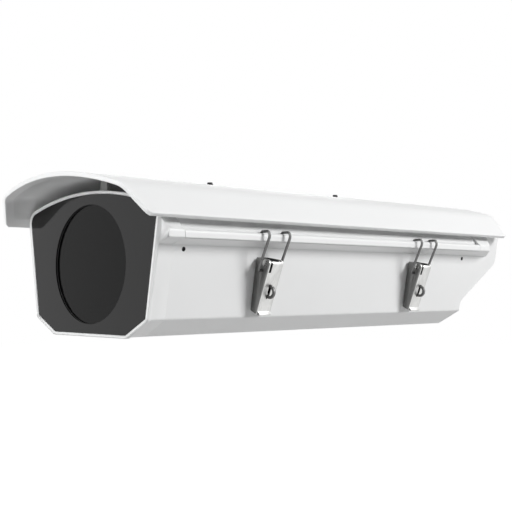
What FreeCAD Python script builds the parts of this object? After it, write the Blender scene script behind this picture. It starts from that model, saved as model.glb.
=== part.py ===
import FreeCAD, Part
import math
import os

# Outdoor camera housing: a straight trough closed by a front collar and a rear cap, with an arched
# lid that opens sideways on a hinge and is held shut by two wire toggle latches, under a long
# curved sunshield.
# Millimetres. X is across the housing, with the latches on +X and the hinge on -X. Y runs back
# from the window, and Z is up. Every station is a distance behind the front face of the rim.
# The finished model is moved so that its origin is the centre of the bracket screw pattern in
# the bottom face.

V = FreeCAD.Vector
UP = V(0, 0, 1)
BACK = V(0, 1, 0)
ACROSS = V(1, 0, 0)

# How far a cutting shape reaches past what it cuts
BEYOND = 20.0

# Cross-section of the housing
FLOOR_HALF = 43.0
CHAMFER_X = 65.5
CHAMFER_Z = 12.2
SIDE_TAPER = 9.46
CROWN_Z = 101.6
CROWN_R = 240.0
SHOULDER_R = 9.0
CASTING_R = 2.5
WALL = 3.0

# Lengths of the housing
LOWER_REAR = 368.0
SLANT_Z = 21.0
UPPER_REAR = 418.0
UPPER_REAR_Z = 56.5
REAR_R = 9.0
LID_FRONT = 16.0
LID_REAR = 372.5
LID_GAP = 0.5
CAP_FRONT = 365.0
TAB_PAST_SCREW = 8.5
TAB_ABOVE_SCREW = 5.0
TAB_BELOW_SCREW = 34.0
TAB_ROOT = 3.0

# Rim and window
RIM_PROUD = 0.8
RIM_LENGTH = 3.0
RIM_WALL = 2.1
PLATE_RECESS = 0.5
PLATE_T = 3.0
PLATE_FIT = 0.15
LEDGE = 2.0
LEDGE_T = 4.0
WINDOW_D = 85.0
WINDOW_Z = 50.5
GLASS_LAP = 2.0
GLASS_T = 4.0
GLASS_CLEAR = 0.2
WINDOW_LIP_T = 1.0
SEAL_T = 0.8
CLAMP_PAST_GLASS = 0.8
CLAMP_LAP = 3.5
CLAMP_T = 2.0
CLAMP_LUG_ANGLE = 30.0
CLAMP_LUG_REACH = 5.0
CLAMP_LUG_SIZE = 4.0
CLAMP_FOOT_R = 3.0
PLATE_LUGS = [(-67.0, 74.0), (67.0, 74.0), (-52.0, 14.0), (52.0, 14.0)]
PLATE_LUG_R = 5.5
PLATE_SKIN = 0.8
PLATE_SCREW_R = 1.45
PLATE_SCREW_HEAD_R = 2.8
PLATE_SCREW_HEAD_T = 2.0

# Flange round the opening, and the lid's rim over it
FLARE_Z = 63.0
FLANGE_X = 84.0
FLANGE_LOW_Z = 66.6
FLANGE_Z = 69.0
BEAD_X = 86.0
BEAD_LOW_Z = 67.2
BEAD_TOP_Z = 72.8
BEAD_R = 2.3
SLOPE_TOP_Z = 80.5
SLOPE_LOW_X = 80.6
SLOPE_LOW_Z = 74.2
GROOVE_X = 83.3
GROOVE_Z = 71.4
SKIRT_GAP = 0.4
LID_SEAT_GAP = 0.8
SHOULDER_LATCH_SIDE = 2.6
SHOULDER_HINGE_SIDE = 8.0
SHOULDER_REAR = 386.0
SHOULDER_END = 401.0

# Seal in the lid
GASKET_X = 77.0
GASKET_W = 3.4
GASKET_DEPTH = 2.2
GASKET_CLEAR = 0.25
GASKET_BAND = 1.6
GASKET_BAND_L = 4.0
LIP_HALF = 58.0
LIP_T = 2.5
LIP_REACH = 7.0

# Sunshield
VISOR_CROWN_Z = 113.3
VISOR_CROWN_R = 237.0
VISOR_CORNER_R = 16.0
VISOR_FOOT_X = 88.3
VISOR_FOOT_Z = 81.8
VISOR_SLOPE = 51.8
VISOR_T = 2.0
HEM_T = 1.2
HEM_W = 7.0
VISOR_FRONT = -32.4
VISOR_RAKE = 0.54
VISOR_REAR = 415.0
VISOR_TIP_R = 6.0
VISOR_SCREW_STATIONS = (116.0, 268.8)
SPACER_R = 6.0
VISOR_SCREW_R = 1.95
VISOR_SCREW_HEAD_R = 4.0
VISOR_SCREW_HEAD_T = 2.8
VISOR_WASHER_R = 5.0
VISOR_WASHER_T = 1.2
VISOR_BOSS_R = 5.0
VISOR_BOSS_L = 6.0
SPACER_CLEAR = 0.2
PAD_CLEAR = 0.3
PAD_STATION = 14.2
PAD_L = 3.0
PAD_W = 7.5

# Hinge on the -X side
HINGE_X = 91.2
HINGE_Z = 70.0
HINGE_R = 4.5
HINGE_PIN_R = 2.0
HINGE_STATIONS = (102.0, 286.0)
HINGE_KNUCKLE_L = 16.0
HINGE_EAR_L = 6.0
HINGE_END_GAP = 0.3
HINGE_PIN_HEAD_R = 3.2
HINGE_PIN_HEAD_T = 1.2
CLIP_R = 3.6
CLIP_NECK_R = 1.4
CLIP_T = 0.8
CLIP_GAP = 0.2

# Latches on the +X side, in their own frame: out from the wall, back along it and up it
LATCH_STATIONS = (102.0, 286.0)
LATCH_TOP_Z = 56.0
LEVER_W = 14.0
LEVER_T = 1.2
LEVER_L = 41.0
LEVER_TOP_OUT = 15.6
LEVER_FOOT_OUT = 7.0
LEVER_WALL_GAP = 0.8
LEVER_TOP_R = 3.0
LEVER_NOTCH_W = 2.2
LEVER_NOTCH_L = 9.5
LEVER_LIP = 3.5
LEVER_LIP_LEAN = 40.0
PIVOT_OUT = 10.5
PIVOT_UP = -2.6
PIVOT_PIN_R = 1.4
PIVOT_HEAD_R = 2.4
PIVOT_HEAD_T = 0.7
EAR_HALF = 3.2
BRACKET_T = 1.2
BRACKET_W = 10.6
BRACKET_L = 36.0
EYE_UP = -23.8
EYE_OUT = 11.6
EYE_R = 5.0
EYE_HOLE_R = 2.9
EYE_T = 1.6
SLOT_W = 2.8
SLOT_TOP = -18.5
SLOT_FOOT = -29.1
WIRE_R = 1.0
WIRE_SPACING = 21.3
WIRE_FOOT_X = 78.9
WIRE_FOOT_Z = 46.3
WIRE_OUT_X = 90.2
WIRE_OUT_Z = 69.6
WIRE_TIP_X = 81.95
WIRE_LIFT = 0.2
WIRE_TIP_CLEAR = 0.35
WIRE_TIP_BEND_R = 1.5
WIRE_TOP_BEND_R = 2.6
WIRE_SIDE_BEND_R = 4.0
WIRE_FOOT_BEND_R = 2.0
LATCH_SCREW_UPS = (-12.5, -33.6)
LATCH_SCREW_R = 1.45
LATCH_SCREW_HEAD_R = 2.1
LATCH_SCREW_HEAD_T = 1.6

# Fasteners and fittings
RUNNING = 0.05
SCREW_HOLE_CLEAR = 0.3
BRACKET_SPACING_X = 50.0
BRACKET_SPACING_Y = 100.0
BRACKET_HOLE_R = 2.5
BRACKET_BOSS_R = 7.0
BRACKET_BOSS_Z = 12.0
MOUNT_STATION = 190.0
SIDE_SCREW_STATIONS = (25.5, 361.0)
SIDE_SCREW_Z = 60.0
SIDE_SCREW_R = 1.6
TRAY_Z = 17.0
TRAY_T = 2.0
TRAY_HALF = 38.0
TRAY_FRONT = 30.0
TRAY_REAR = 312.0
TRAY_EDGE = 7.0
TRAY_SLOT_W = 6.9
TRAY_SLOT_FRONT = 60.0
TRAY_SLOT_REAR = 252.0
TRAY_SCREW_X = 28.0
TRAY_SCREW_STATIONS = (45.0, 296.0)
TRAY_SCREW_R = 1.95
TRAY_SCREW_HOLE_R = 2.0
TRAY_SCREW_HEAD_R = 3.8
TRAY_SCREW_HEAD_T = 2.6
TRAY_SCREW_L = 10.0
POST_R = 4.5
CAMERA_SCREW_STATION = 150.0
CAMERA_SCREW_R = 3.175
CAMERA_SCREW_NECK_R = 2.6
CAMERA_SCREW_NECK_UP = 0.3
CAMERA_SCREW_THREAD_L = 6.0
CAMERA_SCREW_HEAD_R = 7.0
CAMERA_SCREW_HEAD_T = 4.0
CAMERA_WASHER_R = 8.0
CAMERA_WASHER_T = 1.2
BOARD_Z = 20.0
BOARD_T = 1.6
BOARD_W = 70.0
BOARD_FRONT = 320.0
BOARD_L = 40.0
BOARD_POST_INSET = 4.0
BOARD_POST_R = 3.0
BOARD_SCREW_R = 1.2
BOARD_SCREW_HOLE_R = 1.25
BOARD_SCREW_HEAD_R = 2.3
BOARD_SCREW_HEAD_T = 1.6
BOARD_SCREW_L = 6.0
TERMINALS = 6
TERMINAL_PITCH = 7.5
TERMINAL_DEPTH = 16.0
TERMINAL_HEIGHT = 13.0
TERMINAL_MOUTH_R = 2.4
GLAND_XS = (-27.0, 0.0, 27.0)
GLAND_R = 7.9
GLAND_CABLE_R = 3.2
GLAND_NECK_R = 7.4
GLAND_HEX = 19.0
GLAND_CAP_L = 14.0
GLAND_FLANGE_T = 4.0
GLAND_SEAL_R = 5.6
LOCKNUT_T = 4.0


def meet(p, d, q, e):
    """The point where the line through p along d crosses the line through q along e."""
    cross = d[0] * e[1] - d[1] * e[0]
    s = ((q[0] - p[0]) * e[1] - (q[1] - p[1]) * e[0]) / cross
    return (p[0] + s * d[0], p[1] + s * d[1])


def unit(dx, dz):
    length = math.hypot(dx, dz)
    return (dx / length, dz / length)


def rounded(corners):
    """Edges of a closed outline in the XZ plane. A corner is (x, z) or (x, z, radius)."""
    ends = []
    for i, corner in enumerate(corners):
        x, z = corner[0], corner[1]
        radius = corner[2] if len(corner) > 2 else 0.0
        before, after = corners[i - 1], corners[(i + 1) % len(corners)]
        a = unit(before[0] - x, before[1] - z)
        b = unit(after[0] - x, after[1] - z)
        half = math.acos(max(-1.0, min(1.0, a[0] * b[0] + a[1] * b[1]))) / 2
        if radius <= 0 or abs(half - math.pi / 2) < 1e-6:
            ends.append(((x, z), None, (x, z)))
            continue
        reach = radius / math.tan(half)
        toward = unit(a[0] + b[0], a[1] + b[1])
        depth = radius / math.sin(half) - radius
        ends.append((
            (x + a[0] * reach, z + a[1] * reach),
            (x + toward[0] * depth, z + toward[1] * depth),
            (x + b[0] * reach, z + b[1] * reach),
        ))
    edges = []
    for i, (start, middle, end) in enumerate(ends):
        if middle is not None:
            edges.append(arc(start, middle, end))
        following = ends[(i + 1) % len(ends)][0]
        if math.hypot(following[0] - end[0], following[1] - end[1]) > 1e-6:
            edges.append(line(end, following))
    return edges


def line(a, b):
    return Part.LineSegment(V(a[0], 0, a[1]), V(b[0], 0, b[1])).toShape()


def arc(a, middle, b):
    return Part.Arc(V(a[0], 0, a[1]), V(middle[0], 0, middle[1]), V(b[0], 0, b[1])).toShape()


def along(edges, start, end):
    """A prism along the housing from one station to another, from edges in the XZ plane."""
    face = Part.Face(Part.Wire(edges))
    face.translate(V(0, start, 0))
    return face.extrude(V(0, end - start, 0))


def across(edges, half_width):
    """A prism across the housing. Its edges are in the XZ plane, and their x is the station."""
    face = Part.Face(Part.Wire(edges))
    face.rotate(V(0, 0, 0), UP, 90)
    face.translate(V(-half_width, 0, 0))
    return face.extrude(V(2 * half_width, 0, 0))


def box(x0, x1, y0, y1, z0, z1):
    return Part.makeBox(x1 - x0, y1 - y0, z1 - z0, V(x0, y0, z0))


def rod(radius, start, direction, length):
    return Part.makeCylinder(radius, length, start, direction)


def hexagon(flats, start, direction, length):
    """A hexagonal prism from start along direction."""
    corner_r = flats / math.sqrt(3)
    points = [V(corner_r * math.cos(math.radians(60 * i)), corner_r * math.sin(math.radians(60 * i)), 0)
              for i in range(7)]
    prism = Part.Face(Part.makePolygon(points)).extrude(V(0, 0, length))
    prism.Placement = FreeCAD.Placement(start, FreeCAD.Rotation(UP, direction))
    return prism


def fuse(shapes):
    shapes = list(shapes)
    return shapes[0].multiFuse(shapes[1:]).removeSplitter() if len(shapes) > 1 else shapes[0]


def cut_each(solid, tools):
    for tool in tools:
        solid = solid.cut(tool)
    return solid


def mirrored(shape):
    return shape.mirror(V(0, 0, 0), ACROSS)


def group(shapes):
    return Part.makeCompound(list(shapes))


def write(node, shape):
    """Save a node, moved from the front face's frame into the bracket pattern's."""
    moved = shape.copy()
    moved.translate(V(0, -MOUNT_STATION, 0))
    moved.exportStep(os.path.join("parts", node + ".step"))


# Outlines

def wall_x(z, grow=0.0):
    """The side wall's outer face at a height."""
    taper = math.radians(SIDE_TAPER)
    return CHAMFER_X + (z - CHAMFER_Z) * math.tan(taper) + grow / math.cos(taper)


def corner_centre(foot, direction, crown_z, crown_r, corner_r):
    """Centre of the arc that joins a straight side, drawn upwards, to the crown's arc."""
    inward = (-direction[1], direction[0])
    base = (foot[0] + corner_r * inward[0], foot[1] + corner_r * inward[1])
    drop = base[1] - (crown_z - crown_r)
    b = base[0] * direction[0] + drop * direction[1]
    c = base[0] ** 2 + drop ** 2 - (crown_r - corner_r) ** 2
    t = -b + math.sqrt(b * b - c)
    return (base[0] + t * direction[0], base[1] + t * direction[1])


def shoulder_arc(foot, direction, crown_z, crown_r, corner_r, grow):
    """Side end, middle and crown end of the corner arc, grown outwards."""
    centre = corner_centre(foot, direction, crown_z, crown_r, corner_r)
    out_side = (direction[1], -direction[0])
    out_crown = unit(centre[0], centre[1] - (crown_z - crown_r))
    out_middle = unit(out_side[0] + out_crown[0], out_side[1] + out_crown[1])
    radius = corner_r + grow
    return [(centre[0] + radius * n[0], centre[1] + radius * n[1])
            for n in (out_side, out_middle, out_crown)]


def arched(lower_right, shoulder, crown_z):
    """Closed outline: straight lower corners on the right and their mirror, under an arched crown."""
    side_end, middle, crown_end = shoulder
    right = list(lower_right) + [side_end]
    left = [(-x, z) for x, z in reversed(right)]
    edges = [line(right[i], right[i + 1]) for i in range(len(right) - 1)]
    edges.append(arc(side_end, middle, crown_end))
    edges.append(arc(crown_end, (0, crown_z), (-crown_end[0], crown_end[1])))
    edges.append(arc((-crown_end[0], crown_end[1]), (-middle[0], middle[1]), left[0]))
    edges += [line(left[i], left[i + 1]) for i in range(len(left) - 1)]
    edges.append(line(left[-1], right[0]))
    return edges


def housing_outline(grow=0.0):
    """Outline of the housing across its length, grown outwards or, below zero, inwards."""
    taper = math.radians(SIDE_TAPER)
    side = (math.sin(taper), math.cos(taper))
    chamfer = unit(CHAMFER_X - FLOOR_HALF, CHAMFER_Z)
    floor_point = (0.0, -grow)
    chamfer_point = (FLOOR_HALF + grow * chamfer[1], -grow * chamfer[0])
    side_point = (CHAMFER_X + grow * side[1], CHAMFER_Z - grow * side[0])
    shoulder = shoulder_arc((CHAMFER_X, CHAMFER_Z), side, CROWN_Z, CROWN_R, SHOULDER_R, grow)
    lower = [meet(floor_point, (1, 0), chamfer_point, chamfer), meet(chamfer_point, chamfer, side_point, side)]
    return arched(lower, shoulder, CROWN_Z + grow)


def housing_bar(grow, start, end):
    """The housing's outline as a prism, with the casting's rounded lower edges."""
    prism = along(housing_outline(grow), start, end)
    radius = CASTING_R + grow
    if radius < 0.3:
        return prism
    lower = [e for e in prism.Edges if e.BoundBox.ZMax < CHAMFER_Z + 1 and e.BoundBox.YLength > 1]
    return prism.makeFillet(radius, lower)


def slant_direction():
    return unit(UPPER_REAR - LOWER_REAR, UPPER_REAR_Z - SLANT_Z)


def rear_corners(inset):
    """Side outline of the housing behind the front: lower back, slanted face and upper back."""
    slant = slant_direction()
    lower = (LOWER_REAR - inset, 0)
    upper = (UPPER_REAR - inset, 0)
    slanted = (LOWER_REAR - inset * slant[1], SLANT_Z + inset * slant[0])
    low_z, high_z = -BEYOND, CROWN_Z + BEYOND
    round_r = max(REAR_R - inset, 0.5)
    low_x, low_turn = meet(lower, (0, 1), slanted, slant)
    high_x, high_turn = meet(upper, (0, 1), slanted, slant)
    front = -BEYOND
    return [(front, low_z), (low_x, low_z), (low_x, low_turn, round_r),
            (high_x, high_turn, round_r), (high_x, high_z), (front, high_z)]


def rear_mask(inset):
    """Everything in front of the housing's back, as a prism across it with rounded corners."""
    mask = across(rounded(rear_corners(inset)), wall_x(CROWN_Z) + RIM_PROUD)
    return mask


def bead_outline(with_groove):
    """Section of the sloping shoulder and the rounded rim below it, on the latch side."""
    top = (wall_x(SLOPE_TOP_Z), SLOPE_TOP_Z)
    corners = [(top[0] - WALL, SLOPE_TOP_Z), top]
    if with_groove:
        corners += [(SLOPE_LOW_X, SLOPE_LOW_Z), (SLOPE_LOW_X, GROOVE_Z), (GROOVE_X, GROOVE_Z),
                    (GROOVE_X, BEAD_TOP_Z, 0.3)]
    corners += [(BEAD_X, BEAD_TOP_Z, BEAD_R) if with_groove else (BEAD_X - 0.2, BEAD_TOP_Z - 0.6, BEAD_R)]
    return corners


def seat_z():
    """Underside of the lid's flange, above the trough's flange."""
    return FLANGE_Z + LID_SEAT_GAP


def lid_rim():
    """The lid's rim along the latch side: slope, hook groove, rounded bead and skirt."""
    inner_x = wall_x(seat_z(), -WALL)
    corners = bead_outline(True) + [
        (BEAD_X, BEAD_LOW_Z, 0.4),
        (FLANGE_X + SKIRT_GAP, BEAD_LOW_Z),
        (FLANGE_X + SKIRT_GAP, seat_z()),
        (inner_x, seat_z()),
    ]
    rim = along(rounded(corners), LID_FRONT + LID_GAP, LID_REAR - LID_GAP)
    return rim


def fixed_shoulder(start, end):
    """The collar's or the cap's own length of the same rim, in front of and behind the lid."""
    corners = bead_outline(False) + [
        (BEAD_X, BEAD_LOW_Z, 1.0),
        (FLANGE_X, FLANGE_LOW_Z, 1.0),
        (wall_x(FLARE_Z), FLARE_Z),
        (wall_x(FLARE_Z) - WALL, FLARE_Z),
    ]
    return along(rounded(corners), start, end)


def flange(start, end):
    """The flange under the lid, flared out from the side wall."""
    corners = [
        (wall_x(FLARE_Z) - WALL, FLARE_Z),
        (wall_x(FLARE_Z), FLARE_Z),
        (FLANGE_X, FLANGE_LOW_Z, 0.8),
        (FLANGE_X, FLANGE_Z, 0.4),
        (wall_x(FLANGE_Z, -WALL), FLANGE_Z),
    ]
    side = along(rounded(corners), start, end)
    return [side, mirrored(side)]


def rear_shoulder():
    """The fixed rim behind the lid, running out into the side wall."""
    bar = fixed_shoulder(LID_REAR, SHOULDER_END)
    start = V(BEAD_X + 2, SHOULDER_REAR, 0)
    end = V(wall_x(FLANGE_Z) - 1, SHOULDER_END, 0)
    beyond = V(BEAD_X + BEYOND, SHOULDER_END + BEYOND, 0)
    wedge = Part.Face(Part.makePolygon([start, end, beyond, start])).extrude(UP * VISOR_CROWN_Z)
    return bar.cut(wedge)


# Trough

def bracket_points():
    return [(sx * BRACKET_SPACING_X / 2, MOUNT_STATION + sy * BRACKET_SPACING_Y / 2)
            for sx in (-1, 1) for sy in (-1, 1)]


def tray_points():
    return [(sx * TRAY_SCREW_X, station) for sx in (-1, 1) for station in TRAY_SCREW_STATIONS]


def board_points():
    x = BOARD_W / 2 - BOARD_POST_INSET
    front, rear = BOARD_FRONT + BOARD_POST_INSET, BOARD_FRONT + BOARD_L - BOARD_POST_INSET
    return [(sx * x, station) for sx in (-1, 1) for station in (front, rear)]


def gland_frame():
    """Middle of the slanted face and its outward direction, in the plane x = 0."""
    slant = slant_direction()
    middle_z = (SLANT_Z + UPPER_REAR_Z) / 2
    middle_y = LOWER_REAR + (middle_z - SLANT_Z) * slant[0] / slant[1]
    return V(0, middle_y, middle_z), V(0, slant[1], -slant[0])


def gland_bores(radius, start, length):
    centre, out = gland_frame()
    return [rod(radius, centre + ACROSS * x + out * start, out, length) for x in GLAND_XS]


def plate_back():
    return PLATE_RECESS + PLATE_T


def end_lip(start, end, root_start, root_end):
    """Arched lip of an end casting that reaches under the lid, and the web that carries it."""
    outer = GASKET_BAND + GASKET_CLEAR + WALL
    ring = along(housing_outline(-outer), start, end).cut(along(housing_outline(-outer - LIP_T), start, end))
    web = along(housing_outline(-WALL + 0.5), root_start, root_end).cut(
        along(housing_outline(-outer - LIP_T), root_start, root_end))
    return [ring.common(box(-LIP_HALF, LIP_HALF, start, end, FLANGE_Z, CROWN_Z)),
            web.common(box(-LIP_HALF, LIP_HALF, root_start, root_end, FLANGE_Z, CROWN_Z))]


def end_tabs(start, end, clear):
    """Tabs of an end casting inside the trough's side walls, where the side screws hold them."""
    ring = along(housing_outline(-WALL - clear), start, end).cut(
        along(housing_outline(-WALL - LEDGE), start - 1, end + 1))
    low, high = SIDE_SCREW_Z - TAB_BELOW_SCREW, SIDE_SCREW_Z + TAB_ABOVE_SCREW
    return [ring.common(box(x, x + BEAD_X, start, end, low, high)) for x in (-BEAD_X, 0)]


def hinge_ear(station):
    """One of the trough's cast hinge ears: an arm under the lid's rim and a round eye."""
    arm_low = FLARE_Z - 6.0
    corners = [
        (-wall_x(arm_low) + WALL / 2, arm_low),
        (-wall_x(arm_low) + WALL / 2, FLANGE_LOW_Z - 0.6),
        (-FLANGE_X, FLANGE_LOW_Z - 0.6),
        (-HINGE_X + HINGE_R * 0.8, HINGE_Z - HINGE_R * 0.6),
        (-HINGE_X - HINGE_R * 0.8, HINGE_Z - HINGE_R * 0.6),
        (-HINGE_X + 1.0, FLANGE_LOW_Z - 6.0, 3.0),
    ]
    arm = along(rounded(corners), station, station + HINGE_EAR_L)
    eye = rod(HINGE_R, V(-HINGE_X, station, HINGE_Z), BACK, HINGE_EAR_L)
    return fuse([arm, eye])


def hinge_span(station):
    """Stations of the first ear, the knuckle and the second ear round a hinge's middle."""
    knuckle = station - HINGE_KNUCKLE_L / 2
    return knuckle - HINGE_END_GAP - HINGE_EAR_L, knuckle, knuckle + HINGE_KNUCKLE_L + HINGE_END_GAP


def base_shell():
    """The straight trough: floor, sides and flanges, with its bosses, posts and hinge ears."""
    solid = housing_bar(0, LID_FRONT, CAP_FRONT).cut(housing_bar(-WALL, LID_FRONT - 1, CAP_FRONT + 1))
    solid = solid.cut(box(-BEAD_X, BEAD_X, LID_FRONT - 1, CAP_FRONT + 1, FLANGE_Z, CROWN_Z + 5))
    additions = flange(LID_FRONT, CAP_FRONT)
    additions += [rod(BRACKET_BOSS_R, V(x, y, WALL - 1), UP, BRACKET_BOSS_Z - WALL + 1) for x, y in bracket_points()]
    additions += [rod(POST_R, V(x, y, WALL - 1), UP, TRAY_Z - WALL + 1) for x, y in tray_points()]
    additions += [rod(BOARD_POST_R, V(x, y, WALL - 1), UP, BOARD_Z - WALL + 1) for x, y in board_points()]
    for station in HINGE_STATIONS:
        first, _, second = hinge_span(station)
        additions += [hinge_ear(first), hinge_ear(second)]
    solid = fuse([solid] + additions)

    holes = [rod(BRACKET_HOLE_R, V(x, y, 0), UP, BRACKET_BOSS_Z - 2) for x, y in bracket_points()]
    holes += [rod(TRAY_SCREW_HOLE_R, V(x, y, TRAY_Z - TRAY_SCREW_L - 1), UP, TRAY_SCREW_L + 2)
              for x, y in tray_points()]
    holes += [rod(BOARD_SCREW_HOLE_R, V(x, y, BOARD_Z - BOARD_SCREW_L - 1), UP, BOARD_SCREW_L + 2)
              for x, y in board_points()]
    for station in HINGE_STATIONS:
        first, _, second = hinge_span(station)
        holes.append(rod(HINGE_PIN_R + RUNNING, V(-HINGE_X, first - 1, HINGE_Z), BACK,
                         second + HINGE_EAR_L - first + 2))
    for station in LATCH_STATIONS:
        holes += [latch_placed(rod(LATCH_SCREW_R + RUNNING, V(-2 * WALL, 0, up), ACROSS, 3 * WALL), station)
                  for up in LATCH_SCREW_UPS]
    return cut_each(solid, holes + side_screw_holes())


def front_collar():
    """Casting round the window: rim, plate seat, the hood in front of the lid, and tabs in the trough."""
    ledge_end = plate_back() + LEDGE_T
    solid = fuse([housing_bar(0, 0, LID_FRONT), housing_bar(RIM_PROUD, 0, RIM_LENGTH)])
    solid = solid.cut(along(housing_outline(-WALL - LEDGE), plate_back() - 1, LID_FRONT + 1))
    solid = fuse([solid, fixed_shoulder(SHOULDER_LATCH_SIDE, LID_FRONT),
                  mirrored(fixed_shoulder(SHOULDER_HINGE_SIDE, LID_FRONT))]
                 + end_lip(LID_FRONT - LIP_T, LID_FRONT + LIP_REACH, LID_FRONT - LIP_T, LID_FRONT)
                 + end_tabs(plate_back(), LID_FRONT, 0.0)
                 + end_tabs(LID_FRONT - 1, SIDE_SCREW_STATIONS[0] + TAB_PAST_SCREW, RUNNING)
                 + [rod(PLATE_LUG_R, V(x, plate_back(), z), BACK, ledge_end - plate_back()) for x, z in PLATE_LUGS])
    holes = [along(housing_outline(RIM_PROUD - RIM_WALL), -1, plate_back())]
    holes += [rod(PLATE_SCREW_R + RUNNING, V(x, plate_back() - 1, z), BACK, LEDGE_T + 2) for x, z in PLATE_LUGS]
    return cut_each(solid, holes + side_screw_holes())


def rear_cap():
    """Casting that closes the back: slanted gland face, arched top behind the lid, and tabs in the trough."""
    solid = housing_bar(0, CAP_FRONT, UPPER_REAR + 5).common(rear_mask(0))
    solid = solid.cut(housing_bar(-WALL, CAP_FRONT - 1, UPPER_REAR).common(rear_mask(WALL)))
    solid = solid.cut(box(-BEAD_X, BEAD_X, CAP_FRONT - 1, LID_REAR, FLANGE_Z, CROWN_Z + 5))
    rear = rear_shoulder()
    solid = fuse([solid, rear, mirrored(rear)] + flange(CAP_FRONT, LID_REAR)
                 + end_lip(LID_REAR - LIP_REACH, LID_REAR + LIP_T, LID_REAR, LID_REAR + LIP_T)
                 + end_tabs(SIDE_SCREW_STATIONS[1] - TAB_PAST_SCREW, CAP_FRONT + 1, RUNNING)
                 + end_tabs(CAP_FRONT, CAP_FRONT + TAB_ROOT, 0.0))
    return cut_each(solid, gland_bores(GLAND_R + RUNNING, -3 * WALL, 6 * WALL) + side_screw_holes())


def side_screw_rod(station, radius, start, length):
    """A rod square to the latch side wall at a side screw, from start outside the wall's face."""
    taper = math.radians(SIDE_TAPER)
    out = V(math.cos(taper), 0, -math.sin(taper))
    return rod(radius, V(wall_x(SIDE_SCREW_Z), station, SIDE_SCREW_Z) + out * start, out, length)


def side_screw_holes():
    holes = [side_screw_rod(station, SIDE_SCREW_R + RUNNING, -WALL * 2, WALL * 3) for station in SIDE_SCREW_STATIONS]
    return holes + [mirrored(hole) for hole in holes]


def side_screws():
    """Countersunk socket screws, flush in both side walls, that hold the collar and the cap."""
    screws = []
    for station in SIDE_SCREW_STATIONS:
        shank = side_screw_rod(station, SIDE_SCREW_R, -WALL - LEDGE, WALL + LEDGE)
        screws.append(shank.cut(side_screw_rod(station, SIDE_SCREW_R * 0.5, -1.2, 2)))
    return group(screws + [mirrored(screw) for screw in screws])


# Front plate and window

def window_rod(radius, start, end):
    return rod(radius, V(0, start, WINDOW_Z), BACK, end - start)


def glass_r():
    """The glass laps over the plate's lip all round the window opening."""
    return WINDOW_D / 2 + GLASS_LAP


def seal_front():
    return PLATE_RECESS + WINDOW_LIP_T


def glass_front():
    return seal_front() + SEAL_T


def clamp_front():
    """The clamp lies on the back of the glass, which stands out behind the plate."""
    return glass_front() + GLASS_T


def clamp_points():
    """Where the window's clamp is screwed to the back of the plate."""
    angle = math.radians(CLAMP_LUG_ANGLE)
    reach = glass_r() + CLAMP_LUG_REACH
    return [(sx * reach * math.cos(angle), WINDOW_Z + sz * reach * math.sin(angle))
            for sx in (-1, 1) for sz in (-1, 1)]


def front_plate():
    """Face plate with the window opening, sunk from behind for the glass so that a thin lip holds it."""
    plate = along(housing_outline(RIM_PROUD - RIM_WALL - PLATE_FIT), PLATE_RECESS, plate_back())
    holes = [window_rod(WINDOW_D / 2, 0, plate_back() + 1),
             window_rod(glass_r() + GLASS_CLEAR, seal_front(), plate_back() + 1)]
    for x, z in PLATE_LUGS + clamp_points():
        holes.append(rod(PLATE_SCREW_R + RUNNING, V(x, PLATE_RECESS + PLATE_SKIN, z), BACK, PLATE_T))
    return cut_each(plate, holes)


def plate_screw(x, z, head_at):
    foot = PLATE_RECESS + PLATE_SKIN + GLASS_CLEAR
    return fuse([rod(PLATE_SCREW_R, V(x, foot, z), BACK, head_at - foot),
                 rod(PLATE_SCREW_HEAD_R, V(x, head_at, z), BACK, PLATE_SCREW_HEAD_T)])


def plate_screws():
    """Screws through the collar's lugs into the back of the plate."""
    return group(plate_screw(x, z, plate_back() + LEDGE_T) for x, z in PLATE_LUGS)


def window_seal():
    return window_rod(glass_r(), seal_front(), glass_front()).cut(
        window_rod(WINDOW_D / 2, seal_front() - 1, glass_front() + 1))


def window_glass():
    return window_rod(glass_r(), glass_front(), clamp_front())


def window_clamp():
    """A moulded ring behind the glass, with four lugs on feet that stand on the plate."""
    front = clamp_front()
    ring = window_rod(glass_r() + CLAMP_PAST_GLASS, front, front + CLAMP_T)
    lugs = [rod(CLAMP_LUG_SIZE, V(x, front, z), BACK, CLAMP_T) for x, z in clamp_points()]
    feet = [rod(CLAMP_FOOT_R, V(x, plate_back(), z), BACK, front - plate_back()) for x, z in clamp_points()]
    arms = []
    for x, z in clamp_points():
        arm = Part.makeBox(glass_r() + CLAMP_LUG_REACH, CLAMP_T, 2 * CLAMP_LUG_SIZE, V(0, front, -CLAMP_LUG_SIZE))
        arm.rotate(V(0, 0, 0), BACK, -math.degrees(math.atan2(z - WINDOW_Z, x)))
        arm.translate(V(0, 0, WINDOW_Z))
        arms.append(arm)
    solid = fuse([ring] + lugs + feet + arms)
    holes = [window_rod(glass_r() - CLAMP_LAP, front - 1, front + CLAMP_T + 1)]
    holes += [rod(PLATE_SCREW_R + RUNNING, V(x, plate_back() - 1, z), BACK, front + CLAMP_T) for x, z in clamp_points()]
    return cut_each(solid, holes)


def clamp_screws():
    return group(plate_screw(x, z, clamp_front() + CLAMP_T) for x, z in clamp_points())


# Lid and sunshield

def lid_span():
    return LID_FRONT + LID_GAP, LID_REAR - LID_GAP


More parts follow.
